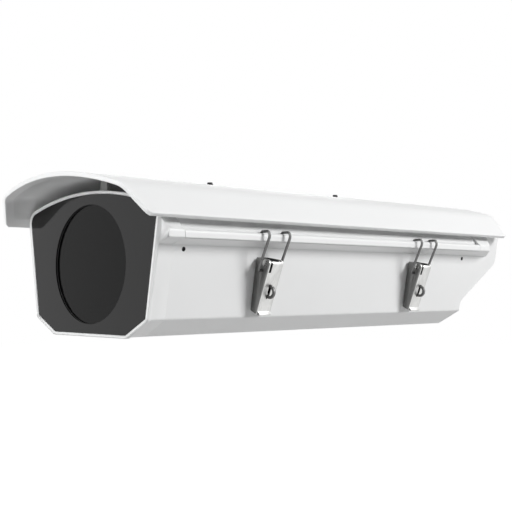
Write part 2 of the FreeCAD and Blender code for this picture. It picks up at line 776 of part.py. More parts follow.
def lid_shell():
    start, end = lid_span()
    arch = along(housing_outline(), start, end).cut(along(housing_outline(-WALL), start - 1, end + 1))
    arch = arch.common(box(-BEAD_X, BEAD_X, start, end, seat_z(), CROWN_Z + 1))
    rim = lid_rim()
    additions = [rim, mirrored(rim)]
    for station in VISOR_SCREW_STATIONS:
        additions.append(rod(VISOR_BOSS_R, V(0, station, CROWN_Z - WALL - VISOR_BOSS_L), UP, VISOR_BOSS_L + WALL / 2))
    for station in HINGE_STATIONS:
        knuckle = hinge_span(station)[1]
        additions.append(rod(HINGE_R, V(-HINGE_X, knuckle, HINGE_Z), BACK, HINGE_KNUCKLE_L))
        additions.append(box(-HINGE_X, -BEAD_X + 0.8, knuckle, knuckle + HINGE_KNUCKLE_L,
                             BEAD_LOW_Z + 0.4, BEAD_TOP_Z - 0.6))
    solid = fuse([arch] + additions)
    groove = box(GASKET_X - GASKET_W / 2, GASKET_X + GASKET_W / 2, start + 2, end - 2, seat_z() - 1,
                 seat_z() + GASKET_DEPTH)
    holes = [groove, mirrored(groove)]
    for station in VISOR_SCREW_STATIONS:
        holes.append(rod(VISOR_SCREW_R + RUNNING, V(0, station, CROWN_Z - WALL - VISOR_BOSS_L + 1.5), UP, 20))
    for station in HINGE_STATIONS:
        knuckle = hinge_span(station)[1]
        holes.append(rod(HINGE_PIN_R + RUNNING, V(-HINGE_X, knuckle - 1, HINGE_Z), BACK, HINGE_KNUCKLE_L + 2))
    return cut_each(solid, holes)


def lid_gasket():
    """One rubber loop in the lid: bars along its flanges and bands round the inside of its ends."""
    start, end = lid_span()
    low = FLANGE_Z + GASKET_CLEAR
    bar = box(GASKET_X - GASKET_W / 2, GASKET_X + GASKET_W / 2, start + 2, end - 2, low, seat_z() + GASKET_DEPTH)
    pieces = [bar, mirrored(bar)]
    for y0, y1 in ((start, start + GASKET_BAND_L), (end - GASKET_BAND_L, end)):
        band = along(housing_outline(-WALL), y0, y1).cut(
            along(housing_outline(-WALL - GASKET_BAND), y0 - 1, y1 + 1))
        pieces.append(band.common(box(-BEAD_X, BEAD_X, y0, y1, low, CROWN_Z)))
        link = box(wall_x(seat_z(), -WALL - GASKET_BAND) + 0.3, GASKET_X, y0, y1, low, seat_z())
        pieces += [link, mirrored(link)]
    return fuse(pieces)


def visor_outline(grow):
    """Points of the sunshield's section on the right: foot, side end, corner middle, crown end."""
    slope = math.radians(VISOR_SLOPE)
    direction = (-math.cos(slope), math.sin(slope))
    shoulder = shoulder_arc((VISOR_FOOT_X, VISOR_FOOT_Z), direction, VISOR_CROWN_Z, VISOR_CROWN_R,
                            VISOR_CORNER_R, grow)
    foot_x = VISOR_FOOT_X + grow / math.sin(slope)
    return [(foot_x, VISOR_FOOT_Z)] + shoulder


def visor_sheet_edges(outside, inside):
    """Section of a sheet between two depths below the sunshield's outer face."""
    outer, inner = visor_outline(-outside), visor_outline(-inside)
    flip = lambda p: (-p[0], p[1])
    edges = []
    for foot, side_end, middle, crown_end, crown in (
            outer + [VISOR_CROWN_Z - outside], inner + [VISOR_CROWN_Z - inside]):
        edges += [
            line(foot, side_end),
            arc(side_end, middle, crown_end),
            arc(crown_end, (0, crown), flip(crown_end)),
            arc(flip(crown_end), flip(middle), flip(side_end)),
            line(flip(side_end), flip(foot)),
        ]
    edges += [line(outer[0], inner[0]), line(flip(outer[0]), flip(inner[0]))]
    return Part.__sortEdges__(edges)


def visor_side(inset):
    """Prism across the sunshield with its side outline: raked front, feet with round corners and back."""
    top_z = VISOR_CROWN_Z + BEYOND
    lean = math.hypot(1, VISOR_RAKE) * inset
    tip = VISOR_FRONT + VISOR_RAKE * (VISOR_CROWN_Z - VISOR_FOOT_Z)
    corner = max(VISOR_TIP_R - inset, 0.5)
    return across(rounded([
        (tip + lean - VISOR_RAKE * inset, VISOR_FOOT_Z + inset, corner),
        (VISOR_REAR - inset, VISOR_FOOT_Z + inset, corner),
        (VISOR_REAR - inset, top_z),
        (VISOR_FRONT + lean - VISOR_RAKE * (top_z - VISOR_CROWN_Z), top_z),
    ]), VISOR_FOOT_X + BEYOND)


def visor():
    """Rolled sheet with bent sides and a hem folded in round its edges, raked so that its crown reaches furthest."""
    start, end = VISOR_FRONT - BEYOND, VISOR_REAR + BEYOND
    sheet = along(visor_sheet_edges(0, VISOR_T + HEM_T), start, end).common(visor_side(0))
    inner = along(visor_sheet_edges(VISOR_T, VISOR_T + 2 * HEM_T), start, end).common(visor_side(HEM_W))
    solid = sheet.cut(inner)
    return cut_each(solid, [rod(VISOR_SCREW_R + SCREW_HOLE_CLEAR, V(0, s, CROWN_Z), UP, BEYOND) for s in VISOR_SCREW_STATIONS])


def visor_spacers():
    height = VISOR_CROWN_Z - VISOR_T - SPACER_CLEAR - CROWN_Z
    return group(rod(SPACER_R, V(0, s, CROWN_Z), UP, height).cut(
        rod(VISOR_SCREW_R + SCREW_HOLE_CLEAR, V(0, s, CROWN_Z - 1), UP, height + 2)) for s in VISOR_SCREW_STATIONS)


def visor_washers():
    return group(rod(VISOR_WASHER_R, V(0, s, VISOR_CROWN_Z), UP, VISOR_WASHER_T).cut(
        rod(VISOR_SCREW_R + RUNNING, V(0, s, VISOR_CROWN_Z - 1), UP, VISOR_WASHER_T + 2))
        for s in VISOR_SCREW_STATIONS)


def domed_head(radius, height, base, direction=UP):
    """A round screw head: a short cylinder under a spherical cap."""
    rim = height * 0.35
    rise = height - rim
    ball_r = (radius ** 2 + rise ** 2) / (2 * rise)
    ball = Part.makeSphere(ball_r, base + direction * (height - ball_r))
    cap = ball.common(rod(radius, base + direction * rim, direction, rise + 0.1))
    return fuse([rod(radius, base, direction, rim), cap])


def visor_screws():
    screws = []
    for station in VISOR_SCREW_STATIONS:
        head_z = VISOR_CROWN_Z + VISOR_WASHER_T
        foot_z = CROWN_Z - WALL - VISOR_BOSS_L + 2
        head = domed_head(VISOR_SCREW_HEAD_R, VISOR_SCREW_HEAD_T, V(0, station, head_z))
        shank = rod(VISOR_SCREW_R, V(0, station, foot_z), UP, head_z - foot_z)
        slot = box(-VISOR_SCREW_HEAD_R, VISOR_SCREW_HEAD_R, station - 0.5, station + 0.5,
                   head_z + VISOR_SCREW_HEAD_T - 1.0, head_z + VISOR_SCREW_HEAD_T + 1)
        screws.append(fuse([head, shank]).cut(slot))
    return group(screws)


def visor_pad():
    """Rubber pad on the front collar that carries the sunshield's front."""
    top = VISOR_CROWN_Z - VISOR_T - PAD_CLEAR
    pad = box(-PAD_W / 2, PAD_W / 2, PAD_STATION - PAD_L / 2, PAD_STATION + PAD_L / 2, CROWN_Z - 1, top)
    return pad.cut(along(housing_outline(), 0, LID_FRONT))


# Hinge

def hinge_pins():
    pins = []
    for station in HINGE_STATIONS:
        first, _, second = hinge_span(station)
        end = second + HINGE_EAR_L
        shank = rod(HINGE_PIN_R, V(-HINGE_X, first, HINGE_Z), BACK, end - first + CLIP_T + 2)
        head = rod(HINGE_PIN_HEAD_R, V(-HINGE_X, first - HINGE_PIN_HEAD_T, HINGE_Z), BACK, HINGE_PIN_HEAD_T)
        neck = rod(HINGE_PIN_R + 1, V(-HINGE_X, end + CLIP_GAP, HINGE_Z), BACK, CLIP_T + 2 * RUNNING).cut(
            rod(CLIP_NECK_R, V(-HINGE_X, end, HINGE_Z), BACK, CLIP_T + 2))
        pins.append(fuse([shank, head]).cut(neck))
    return group(pins)


def hinge_clips():
    """Snap rings in the pins' necks, open on one side."""
    clips = []
    for station in HINGE_STATIONS:
        at = hinge_span(station)[2] + HINGE_EAR_L + CLIP_GAP + RUNNING
        ring = rod(CLIP_R, V(-HINGE_X, at, HINGE_Z), BACK, CLIP_T).cut(
            rod(CLIP_NECK_R + RUNNING, V(-HINGE_X, at - 1, HINGE_Z), BACK, CLIP_T + 2))
        clips.append(ring.cut(box(-HINGE_X - CLIP_NECK_R, -HINGE_X + CLIP_NECK_R, at - 1, at + 2,
                                  HINGE_Z - CLIP_R - 1, HINGE_Z)))
    return group(clips)


# Latches, drawn in their own frame: x out from the wall, y along it and z up it

def latch_placed(shape, station):
    shape.Placement = FreeCAD.Placement(V(wall_x(LATCH_TOP_Z), station, LATCH_TOP_Z),
                                        FreeCAD.Rotation(BACK, SIDE_TAPER)).multiply(shape.Placement)
    return shape


def wire_foot():
    """Where the hook's cross-piece passes through the lever, in the latch's frame."""
    dx, dz = WIRE_FOOT_X - wall_x(LATCH_TOP_Z), WIRE_FOOT_Z - LATCH_TOP_Z
    taper = math.radians(SIDE_TAPER)
    return (dx * math.cos(taper) - dz * math.sin(taper), dx * math.sin(taper) + dz * math.cos(taper))


def slab(edges, width):
    """A plate centred on the latch's middle plane, from edges in its xz plane."""
    return along(edges, -width / 2, width / 2)


def latch_lever(station):
    """Folded channel: two wedge-shaped flanges and a front face, slotted for the padlock eye."""
    outside = [
        (LEVER_WALL_GAP, 0, 1.0),
        (LEVER_TOP_OUT, 0, LEVER_TOP_R),
        (LEVER_FOOT_OUT, -LEVER_L, 1.5),
        (LEVER_WALL_GAP, -LEVER_L + 2, 1.0),
    ]
    inside = [
        (-5, 5),
        (LEVER_TOP_OUT - LEVER_T, 5),
        (LEVER_TOP_OUT - LEVER_T, -LEVER_TOP_R),
        (LEVER_FOOT_OUT - LEVER_T, -LEVER_L),
        (LEVER_FOOT_OUT - LEVER_T, -LEVER_L - 5),
        (-5, -LEVER_L - 5),
    ]
    channel = slab(rounded(outside), LEVER_W).cut(slab(rounded(inside), LEVER_W - 2 * LEVER_T))
    lean = math.radians(LEVER_LIP_LEAN)
    lip_x, lip_z = LEVER_FOOT_OUT - LEVER_T, -LEVER_L + 1.5
    lip = [
        (lip_x, lip_z),
        (lip_x + LEVER_LIP * math.cos(lean), lip_z - LEVER_LIP * math.sin(lean), 0.5),
        (lip_x + LEVER_LIP * math.cos(lean) + LEVER_T, lip_z - LEVER_LIP * math.sin(lean) + LEVER_T, 0.5),
        (lip_x + LEVER_T, lip_z + LEVER_T),
    ]
    channel = fuse([channel, slab(rounded(lip), LEVER_W - 2)])
    foot_out, foot_up = wire_foot()
    cuts = [
        box(LEVER_WALL_GAP + LEVER_T, LEVER_TOP_OUT + 5, -SLOT_W / 2, SLOT_W / 2, SLOT_FOOT, SLOT_TOP),
        rod(PIVOT_PIN_R + RUNNING, V(PIVOT_OUT, -LEVER_W, PIVOT_UP), BACK, 2 * LEVER_W),
        rod(WIRE_R + RUNNING, V(foot_out, -LEVER_W, foot_up), BACK, 2 * LEVER_W),
    ]
    notch = LEVER_T - LEVER_W / 2
    cuts.append(box(LEVER_TOP_OUT - LEVER_TOP_R - LEVER_T, LEVER_TOP_OUT + 5, notch, notch + LEVER_NOTCH_W,
                    -LEVER_NOTCH_L, 5))
    return latch_placed(cut_each(channel, cuts), station)


def latch_bracket(station):
    """Folded bracket: a plate on the wall, two ears for the pivot and the padlock eye."""
    parts = [box(0, BRACKET_T, -BRACKET_W / 2, BRACKET_W / 2, -BRACKET_L, 0)]
    ear = [
        (0, PIVOT_UP - EAR_HALF),
        (PIVOT_OUT, PIVOT_UP - EAR_HALF, 0),
        (PIVOT_OUT + EAR_HALF, PIVOT_UP - EAR_HALF, EAR_HALF - 0.2),
        (PIVOT_OUT + EAR_HALF, PIVOT_UP + EAR_HALF - 0.6, EAR_HALF - 0.8),
        (0, PIVOT_UP + EAR_HALF - 0.6),
    ]
    for side in (-1, 1):
        plate = along(rounded(ear), 0, BRACKET_T)
        plate.translate(V(0, side * (BRACKET_W - BRACKET_T) / 2 - BRACKET_T / 2, 0))
        parts.append(plate)
    parts.append(box(0, EYE_OUT, -EYE_T / 2, EYE_T / 2, EYE_UP - EYE_R, EYE_UP + EYE_R))
    parts.append(rod(EYE_R, V(EYE_OUT, -EYE_T / 2, EYE_UP), BACK, EYE_T))
    solid = fuse(parts)
    cuts = [
        rod(EYE_HOLE_R, V(EYE_OUT, -EYE_T, EYE_UP), BACK, 2 * EYE_T),
        rod(PIVOT_PIN_R + RUNNING, V(PIVOT_OUT, -BRACKET_W, PIVOT_UP), BACK, 2 * BRACKET_W),
    ]
    cuts += [rod(LATCH_SCREW_R + RUNNING, V(-1, 0, up), ACROSS, BRACKET_T + 2) for up in LATCH_SCREW_UPS]
    return latch_placed(cut_each(solid, cuts), station)


def latch_pin(station):
    """Riveted pivot pin through the lever's flanges and the bracket's ears."""
    half = LEVER_W / 2
    pin = fuse([
        rod(PIVOT_PIN_R, V(PIVOT_OUT, -half - RUNNING, PIVOT_UP), BACK, 2 * (half + RUNNING)),
        rod(PIVOT_HEAD_R, V(PIVOT_OUT, -half - RUNNING - PIVOT_HEAD_T, PIVOT_UP), BACK, PIVOT_HEAD_T),
        rod(PIVOT_HEAD_R, V(PIVOT_OUT, half + RUNNING, PIVOT_UP), BACK, PIVOT_HEAD_T),
    ])
    return latch_placed(pin, station)


def latch_screws():
    """Screws that hold both latch brackets to the wall."""
    screws = []
    for station in LATCH_STATIONS:
        for up in LATCH_SCREW_UPS:
            screw = fuse([
                rod(LATCH_SCREW_R, V(-WALL - 1, 0, up), ACROSS, WALL + 1 + BRACKET_T),
                rod(LATCH_SCREW_HEAD_R, V(BRACKET_T, 0, up), ACROSS, LATCH_SCREW_HEAD_T),
            ])
            screws.append(latch_placed(screw, station))
    return group(screws)


def bent_wire(points, bends, radius):
    """Round wire along straight runs, with a tangent arc of its own radius at each inner point."""
    edges = []
    at = points[0]
    for i in range(1, len(points) - 1):
        corner = points[i]
        back, ahead = (points[i - 1] - corner).normalize(), (points[i + 1] - corner).normalize()
        half = back.getAngle(ahead) / 2
        reach = bends[i - 1] / math.tan(half)
        middle = (back + ahead).normalize() * (bends[i - 1] / math.sin(half) - bends[i - 1])
        edges.append(Part.LineSegment(at, corner + back * reach).toShape())
        edges.append(Part.Arc(corner + back * reach, corner + middle, corner + ahead * reach).toShape())
        at = corner + ahead * reach
    edges.append(Part.LineSegment(at, points[-1]).toShape())
    heading = (points[1] - points[0]).normalize()
    section = Part.Wire(Part.makeCircle(radius, points[0], heading))
    return Part.Wire(edges).makePipeShell([section], True, True)


def latch_hook(station):
    """One spring wire: two claws over the lid's rim, joined by a cross-piece through the lever."""
    top_z = BEAD_TOP_Z + WIRE_LIFT + WIRE_R
    arm = [
        (WIRE_TIP_X, GROOVE_Z + WIRE_TIP_CLEAR),
        (WIRE_TIP_X, top_z),
        (WIRE_OUT_X + 0.6, top_z),
        (WIRE_OUT_X, WIRE_OUT_Z),
        (WIRE_FOOT_X, WIRE_FOOT_Z),
    ]
    half = WIRE_SPACING / 2
    points = [V(x, station - half, z) for x, z in arm] + [V(x, station + half, z) for x, z in reversed(arm)]
    bends = [WIRE_TIP_BEND_R, WIRE_TOP_BEND_R, WIRE_SIDE_BEND_R, WIRE_FOOT_BEND_R]
    return bent_wire(points, bends + bends[::-1], WIRE_R)


# Inside

def camera_tray():
    """Folded tray on four posts, slotted along its middle for the camera's screw."""
    tray = fuse([
        box(-TRAY_HALF, TRAY_HALF, TRAY_FRONT, TRAY_REAR, TRAY_Z, TRAY_Z + TRAY_T),
        box(-TRAY_HALF, -TRAY_HALF + TRAY_T, TRAY_FRONT, TRAY_REAR, TRAY_Z, TRAY_Z + TRAY_EDGE),
        box(TRAY_HALF - TRAY_T, TRAY_HALF, TRAY_FRONT, TRAY_REAR, TRAY_Z, TRAY_Z + TRAY_EDGE),
    ])
    ends = (TRAY_SLOT_FRONT, TRAY_SLOT_REAR)
    cuts = [box(-TRAY_SLOT_W / 2, TRAY_SLOT_W / 2, *ends, TRAY_Z - 1, TRAY_Z + TRAY_T + 1)]
    cuts += [rod(TRAY_SLOT_W / 2, V(0, y, TRAY_Z - 1), UP, TRAY_T + 2) for y in ends]
    cuts += [rod(TRAY_SCREW_R + SCREW_HOLE_CLEAR, V(x, y, TRAY_Z - 1), UP, TRAY_T + 2) for x, y in tray_points()]
    return cut_each(tray, cuts)


def pan_screw(radius, head_r, head_t, x, y, seat, reach):
    return fuse([rod(radius, V(x, y, seat - reach), UP, reach), domed_head(head_r, head_t, V(x, y, seat))])


def tray_screws():
    return group(pan_screw(TRAY_SCREW_R, TRAY_SCREW_HEAD_R, TRAY_SCREW_HEAD_T, x, y, TRAY_Z + TRAY_T,
                           TRAY_SCREW_L) for x, y in tray_points())


def camera_screw():
    """The camera's captive fixing screw, pushed up through the tray's slot; its neck is thinner than its thread."""
    head_z = TRAY_Z - CAMERA_SCREW_HEAD_T
    thread_z = TRAY_Z + TRAY_T + CAMERA_WASHER_T + CAMERA_SCREW_NECK_UP
    return fuse([
        rod(CAMERA_SCREW_HEAD_R, V(0, CAMERA_SCREW_STATION, head_z), UP, CAMERA_SCREW_HEAD_T),
        rod(CAMERA_SCREW_NECK_R, V(0, CAMERA_SCREW_STATION, TRAY_Z), UP, thread_z - TRAY_Z),
        rod(CAMERA_SCREW_R, V(0, CAMERA_SCREW_STATION, thread_z), UP, CAMERA_SCREW_THREAD_L),
    ])


def camera_washer():
    base = V(0, CAMERA_SCREW_STATION, TRAY_Z + TRAY_T)
    return rod(CAMERA_WASHER_R, base, UP, CAMERA_WASHER_T).cut(
        rod(CAMERA_SCREW_R + RUNNING, base - UP, UP, CAMERA_WASHER_T + 2))


def terminal_board():
    board = box(-BOARD_W / 2, BOARD_W / 2, BOARD_FRONT, BOARD_FRONT + BOARD_L, BOARD_Z, BOARD_Z + BOARD_T)
    return cut_each(board, [rod(BOARD_SCREW_R + 0.2, V(x, y, BOARD_Z - 1), UP, BOARD_T + 2)
                            for x, y in board_points()])


def board_screws():
    return group(pan_screw(BOARD_SCREW_R, BOARD_SCREW_HEAD_R, BOARD_SCREW_HEAD_T, x, y, BOARD_Z + BOARD_T,
                           BOARD_SCREW_L) for x, y in board_points())


def terminal_block():
    """Row of screw terminals: wire mouths face the back, their screws face up."""
    length = TERMINALS * TERMINAL_PITCH
    y0 = BOARD_FRONT + (BOARD_L - TERMINAL_DEPTH) / 2
    base_z = BOARD_Z + BOARD_T
    block = box(-length / 2, length / 2, y0, y0 + TERMINAL_DEPTH, base_z, base_z + TERMINAL_HEIGHT)
    cuts = []
    for i in range(TERMINALS):
        x = (i - (TERMINALS - 1) / 2) * TERMINAL_PITCH
        cuts.append(rod(TERMINAL_MOUTH_R, V(x, y0 + TERMINAL_DEPTH - 6, base_z + TERMINAL_MOUTH_R + 1.5), BACK, 7))
        cuts.append(rod(TERMINAL_MOUTH_R, V(x, y0 + TERMINAL_DEPTH / 3, base_z + TERMINAL_HEIGHT - 2), UP, 3))
    return cut_each(block, cuts)


# Cable glands in the slanted rear face

def on_glands(make):
    """A compound of one shape at each gland, made at a point on the wall and its outward direction."""
    centre, out = gland_frame()
    return group(make(centre + ACROSS * x, out) for x in GLAND_XS)


def gland_bodies():
    def body(at, out):
        inside = WALL + LOCKNUT_T + 2
        solid = fuse([
            rod(GLAND_R, at - out * inside, out, inside),
            hexagon(GLAND_HEX, at, out, GLAND_FLANGE_T),
            rod(GLAND_NECK_R, at + out * GLAND_FLANGE_T, out, GLAND_CAP_L * 0.55),
        ])
        return solid.cut(rod(GLAND_SEAL_R + RUNNING, at - out * (inside + 1), out, 3 * BEYOND))
    return on_glands(body)


def gland_nuts():
    def nut(at, out):
        start = GLAND_FLANGE_T + 0.6
        solid = hexagon(GLAND_HEX, at + out * start, out, GLAND_CAP_L)
        cone = Part.makeCone(GLAND_HEX * 0.72, GLAND_HEX * 0.36, GLAND_CAP_L * 1.0, at + out * start, out)
        solid = solid.common(cone.fuse(rod(GLAND_HEX, at + out * start, out, GLAND_CAP_L * 0.6)))
        deep = GLAND_CAP_L * 0.55
        solid = solid.cut(rod(GLAND_NECK_R + RUNNING, at + out * (start - 1), out, deep + 1))
        return solid.cut(rod(GLAND_SEAL_R - 1.2, at + out * start, out, GLAND_CAP_L + 2))
    return on_glands(nut)


def gland_seals():
    def seal(at, out):
        start = -WALL
        length = GLAND_FLANGE_T + GLAND_CAP_L * 0.55 + 0.5 - start
        return rod(GLAND_SEAL_R, at + out * start, out, length).cut(
            rod(GLAND_CABLE_R, at + out * (start - 1), out, length + 2))
    return on_glands(seal)


def gland_locknuts():
    def locknut(at, out):
        return hexagon(GLAND_HEX + 2, at - out * (WALL + LOCKNUT_T), out, LOCKNUT_T).cut(
            rod(GLAND_R + RUNNING, at - out * (WALL + LOCKNUT_T + 1), out, LOCKNUT_T + 2))
    return on_glands(locknut)


def main():
    os.makedirs("parts", exist_ok=True)
    nodes = {
        "base_shell": base_shell(),
        "front_collar": front_collar(),
        "rear_cap": rear_cap(),
        "front_plate": front_plate(),
        "plate_screws": plate_screws(),
        "window_seal": window_seal(),
        "window_glass": window_glass(),
        "window_clamp": window_clamp(),
        "clamp_screws": clamp_screws(),
        "side_screws": side_screws(),
        "lid_shell": lid_shell(),
        "lid_gasket": lid_gasket(),
        "visor": visor(),
        "visor_spacers": visor_spacers(),
        "visor_washers": visor_washers(),
        "visor_screws": visor_screws(),
        "visor_pad": visor_pad(),
        "hinge_pins": hinge_pins(),
        "hinge_clips": hinge_clips(),
        "latch_screws": latch_screws(),
        "camera_tray": camera_tray(),
        "tray_screws": tray_screws(),
        "camera_screw": camera_screw(),
        "camera_washer": camera_washer(),
        "terminal_board": terminal_board(),
        "terminal_block": terminal_block(),
        "board_screws": board_screws(),
        "gland_bodies": gland_bodies(),
        "gland_nuts": gland_nuts(),
        "gland_seals": gland_seals(),
        "gland_locknuts": gland_locknuts(),
    }
    for name, station in zip(("front", "rear"), LATCH_STATIONS):
        nodes["latch_bracket_" + name] = latch_bracket(station)
        nodes["latch_lever_" + name] = latch_lever(station)
        nodes["latch_pin_" + name] = latch_pin(station)
        nodes["latch_hook_" + name] = latch_hook(station)
    for node, shape in nodes.items():
        write(node, shape)
        print(node, len(shape.Solids), round(shape.Volume / 1000, 2), "cm3", "valid" if shape.isValid() else "INVALID")


main()
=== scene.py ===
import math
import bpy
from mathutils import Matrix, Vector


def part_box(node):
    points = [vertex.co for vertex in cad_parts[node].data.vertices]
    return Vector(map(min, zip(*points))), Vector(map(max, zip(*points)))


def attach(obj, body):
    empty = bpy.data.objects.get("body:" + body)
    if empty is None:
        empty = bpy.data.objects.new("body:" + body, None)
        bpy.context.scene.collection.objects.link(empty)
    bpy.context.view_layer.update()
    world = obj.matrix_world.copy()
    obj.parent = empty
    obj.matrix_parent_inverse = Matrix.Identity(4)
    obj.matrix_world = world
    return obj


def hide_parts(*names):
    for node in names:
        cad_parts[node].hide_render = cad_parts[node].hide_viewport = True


bl_info = {
    "name": "Camera housing",
    "version": (1, 0, 0),
    "blender": (4, 5, 0),
    "location": "3D View > Sidebar > Camera housing",
    "description": "Dresses the frame of an outdoor camera housing and sets its studio",
    "category": "Object",
}

import bmesh
import bpy
from bpy.props import FloatProperty, FloatVectorProperty, PointerProperty
from mathutils import Vector

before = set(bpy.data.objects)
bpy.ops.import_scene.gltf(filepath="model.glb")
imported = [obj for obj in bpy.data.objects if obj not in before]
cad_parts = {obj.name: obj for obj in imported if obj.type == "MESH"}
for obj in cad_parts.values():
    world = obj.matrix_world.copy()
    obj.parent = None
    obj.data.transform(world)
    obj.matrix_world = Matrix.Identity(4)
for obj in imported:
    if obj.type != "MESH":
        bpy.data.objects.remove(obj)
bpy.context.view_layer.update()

# Metres. X is across the housing, with the latches on +X; Y runs back from the window; Z is up.
MM = 0.001
UP = Vector((0, 0, 1))
BACK = Vector((0, 1, 0))
# Points of a frame node that are closer than this are one point
MERGE = 0.001 * MM


class HousingSizes(bpy.types.PropertyGroup):
    """Sizes that a user may change."""

    sheet: FloatProperty(
        name="Sunshield sheet", description="Thickness of the sunshield", default=2 * MM,
        unit="LENGTH", precision=4)
    crown_radius: FloatProperty(
        name="Sunshield crown", description="Radius of the sunshield's arched top", default=237 * MM,
        unit="LENGTH", precision=4)
    corner_radius: FloatProperty(
        name="Sunshield corner", description="Radius between the arched top and the sides", default=16 * MM,
        unit="LENGTH", precision=4)
    side_slope: FloatProperty(
        name="Sunshield side slope", description="Angle of the sides above level",
        default=math.radians(51.8), unit="ROTATION")
    rake: FloatProperty(
        name="Sunshield rake", description="How far the front leans back for each metre it drops",
        default=0.54)
    tip_radius: FloatProperty(
        name="Sunshield tips", description="Radius of the sunshield's lower corners", default=3 * MM,
        unit="LENGTH", precision=4)
    hem: FloatProperty(
        name="Hem", description="Width of the hem folded in round the sunshield", default=7 * MM,
        unit="LENGTH", precision=4)
    fold: FloatProperty(
        name="Hem fold", description="Thickness that the hem adds", default=1.2 * MM,
        unit="LENGTH", precision=4)
    wire: FloatProperty(
        name="Latch wire", description="Diameter of the latches' spring wire", default=2 * MM,
        unit="LENGTH", precision=4)
    grain: FloatProperty(
        name="Coating grain", description="Size of the powder coat's fine waves", default=1.4 * MM,
        unit="LENGTH", precision=4)


class HousingColours(bpy.types.PropertyGroup):
    """Colours that a user may change."""

    coating: FloatVectorProperty(
        name="Coating", description="The housing's white powder coat", subtype="COLOR",
        default=(0.86, 0.865, 0.865), min=0, max=1)
    face: FloatVectorProperty(
        name="Face", description="The glossy plate round the window", subtype="COLOR",
        default=(0.004, 0.004, 0.0042), min=0, max=1)
    steel: FloatVectorProperty(
        name="Steel", description="The latches' brushed steel", subtype="COLOR",
        default=(0.7, 0.7, 0.69), min=0, max=1)
    wire: FloatVectorProperty(
        name="Wire", description="The latches' drawn wire", subtype="COLOR",
        default=(0.16, 0.16, 0.16), min=0, max=1)
    rubber: FloatVectorProperty(
        name="Rubber", description="Seals, washers and the pad", subtype="COLOR",
        default=(0.045, 0.045, 0.046), min=0, max=1)
    plastic: FloatVectorProperty(
        name="Black plastic", description="Glands, spacers and the window's clamp", subtype="COLOR",
        default=(0.028, 0.028, 0.03), min=0, max=1)


def sizes():
    return bpy.context.scene.housing_sizes


def colours():
    return bpy.context.scene.housing_colours


# Node trees

def add(tree, kind, inputs=None, **settings):
    """A new node. Each input is a value, or another node's output to join to it."""
    node = tree.nodes.new(kind)
    for name, value in settings.items():
        setattr(node, name, value)
    for key, value in (inputs or {}).items():
        if isinstance(value, bpy.types.NodeSocket):
            tree.links.new(value, node.inputs[key])
        else:
            node.inputs[key].default_value = value
    return node


def maths(tree, operation, *values):
    """A Math node's output."""
    return add(tree, "ShaderNodeMath", dict(enumerate(values)), operation=operation).outputs[0]


def total(tree, *values):
    """The sum of some values."""
    whole = values[0]
    for value in values[1:]:
        whole = maths(tree, "ADD", whole, value)
    return whole


def squared(tree, value):
    """A value times itself."""
    return maths(tree, "MULTIPLY", value, value)


def clamped(tree, value):
    """A value held between 0 and 1."""
    return maths(tree, "MINIMUM", maths(tree, "MAXIMUM", value, 0.0), 1.0)


def socket(tree, name, kind, default=None, out=False):
    """A named input or output on a node group."""
    made = tree.interface.new_socket(name, in_out="OUTPUT" if out else "INPUT", socket_type=kind)
    if default is not None:
        made.default_value = default
    return made


# Shared shader groups

# The coat's slow drift: noise cells to a metre, and how far it moves the roughness
DRIFT_SCALE = 9.0
DRIFT_ROUGHNESS = 0.12
# The brush's scratches, which run along Z, and its blotches: noise cells to a metre, and how far they
# move the roughness
SCRATCH_SCALE = 900.0
SCRATCH_STRETCH = (1.0, 1.0, 0.05)
SCRATCH_ROUGHNESS = 0.25
BLOTCH_SCALE = 140.0
BLOTCH_ROUGHNESS = 0.15
# The window's faint haze: noise cells to a metre, its least roughness and how far it moves that
HAZE_SCALE = 40.0
HAZE_LEAST = 0.02
HAZE_ROUGHNESS = 0.03


def surface_group(name, build, inputs, outputs):
    """A shader group made once. build gets the tree and the group's inputs, and returns the outputs."""
    if name in bpy.data.node_groups:
        return bpy.data.node_groups[name]
    tree = bpy.data.node_groups.new(name, "ShaderNodeTree")
    for label, default in inputs:
        socket(tree, label, "NodeSocketColor" if isinstance(default, tuple) else "NodeSocketFloat", default)
    for label, kind in outputs:
        socket(tree, label, kind, out=True)
    entry = add(tree, "NodeGroupInput")
    leave = add(tree, "NodeGroupOutput")
    for label, value in build(tree, entry.outputs).items():
        tree.links.new(value, leave.inputs[label])
    return tree


def placed_noise(tree, scale, detail=2.0, stretch=None):
    """Noise on the object's own coordinates, stretched along an axis if asked."""
    position = add(tree, "ShaderNodeTexCoord").outputs["Object"]
    if stretch is not None:
        position = add(tree, "ShaderNodeMapping", {"Vector": position, "Scale": stretch}).outputs[0]
    return add(tree, "ShaderNodeTexNoise", {"Vector": position, "Scale": scale, "Detail": detail}).outputs[0]


def shaded(tree, colour, shade):
    """A colour made lighter or darker by a shade that is about 1."""
    return add(tree, "ShaderNodeVectorMath", {0: colour, "Scale": shade}, operation="SCALE").outputs[0]


def varied(tree, base, noise, reach):
    """A base value with a share of some noise added."""
    return maths(tree, "ADD", base, maths(tree, "MULTIPLY", noise, reach))


def coat_grain():
    """Fine waves of a sprayed coat, and a slow drift of its tone."""
    def build(tree, inputs):
        waves = placed_noise(tree, maths(tree, "DIVIDE", 1.0, inputs["Size"]), 1.0)
        drift = maths(tree, "SUBTRACT", placed_noise(tree, DRIFT_SCALE, 3.0), 0.5)
        colour = shaded(tree, inputs["Color"], varied(tree, 1.0, drift, inputs["Drift"]))
        rough = varied(tree, inputs["Roughness"], drift, DRIFT_ROUGHNESS)
        return {"Color": colour, "Height": waves, "Roughness": rough}
    return surface_group(
        "Coat grain", build,
        [("Color", (0.8, 0.8, 0.8, 1.0)), ("Size", 1.4 * MM), ("Drift", 0.04), ("Roughness", 0.4)],
        [("Color", "NodeSocketColor"), ("Height", "NodeSocketFloat"), ("Roughness", "NodeSocketFloat")])


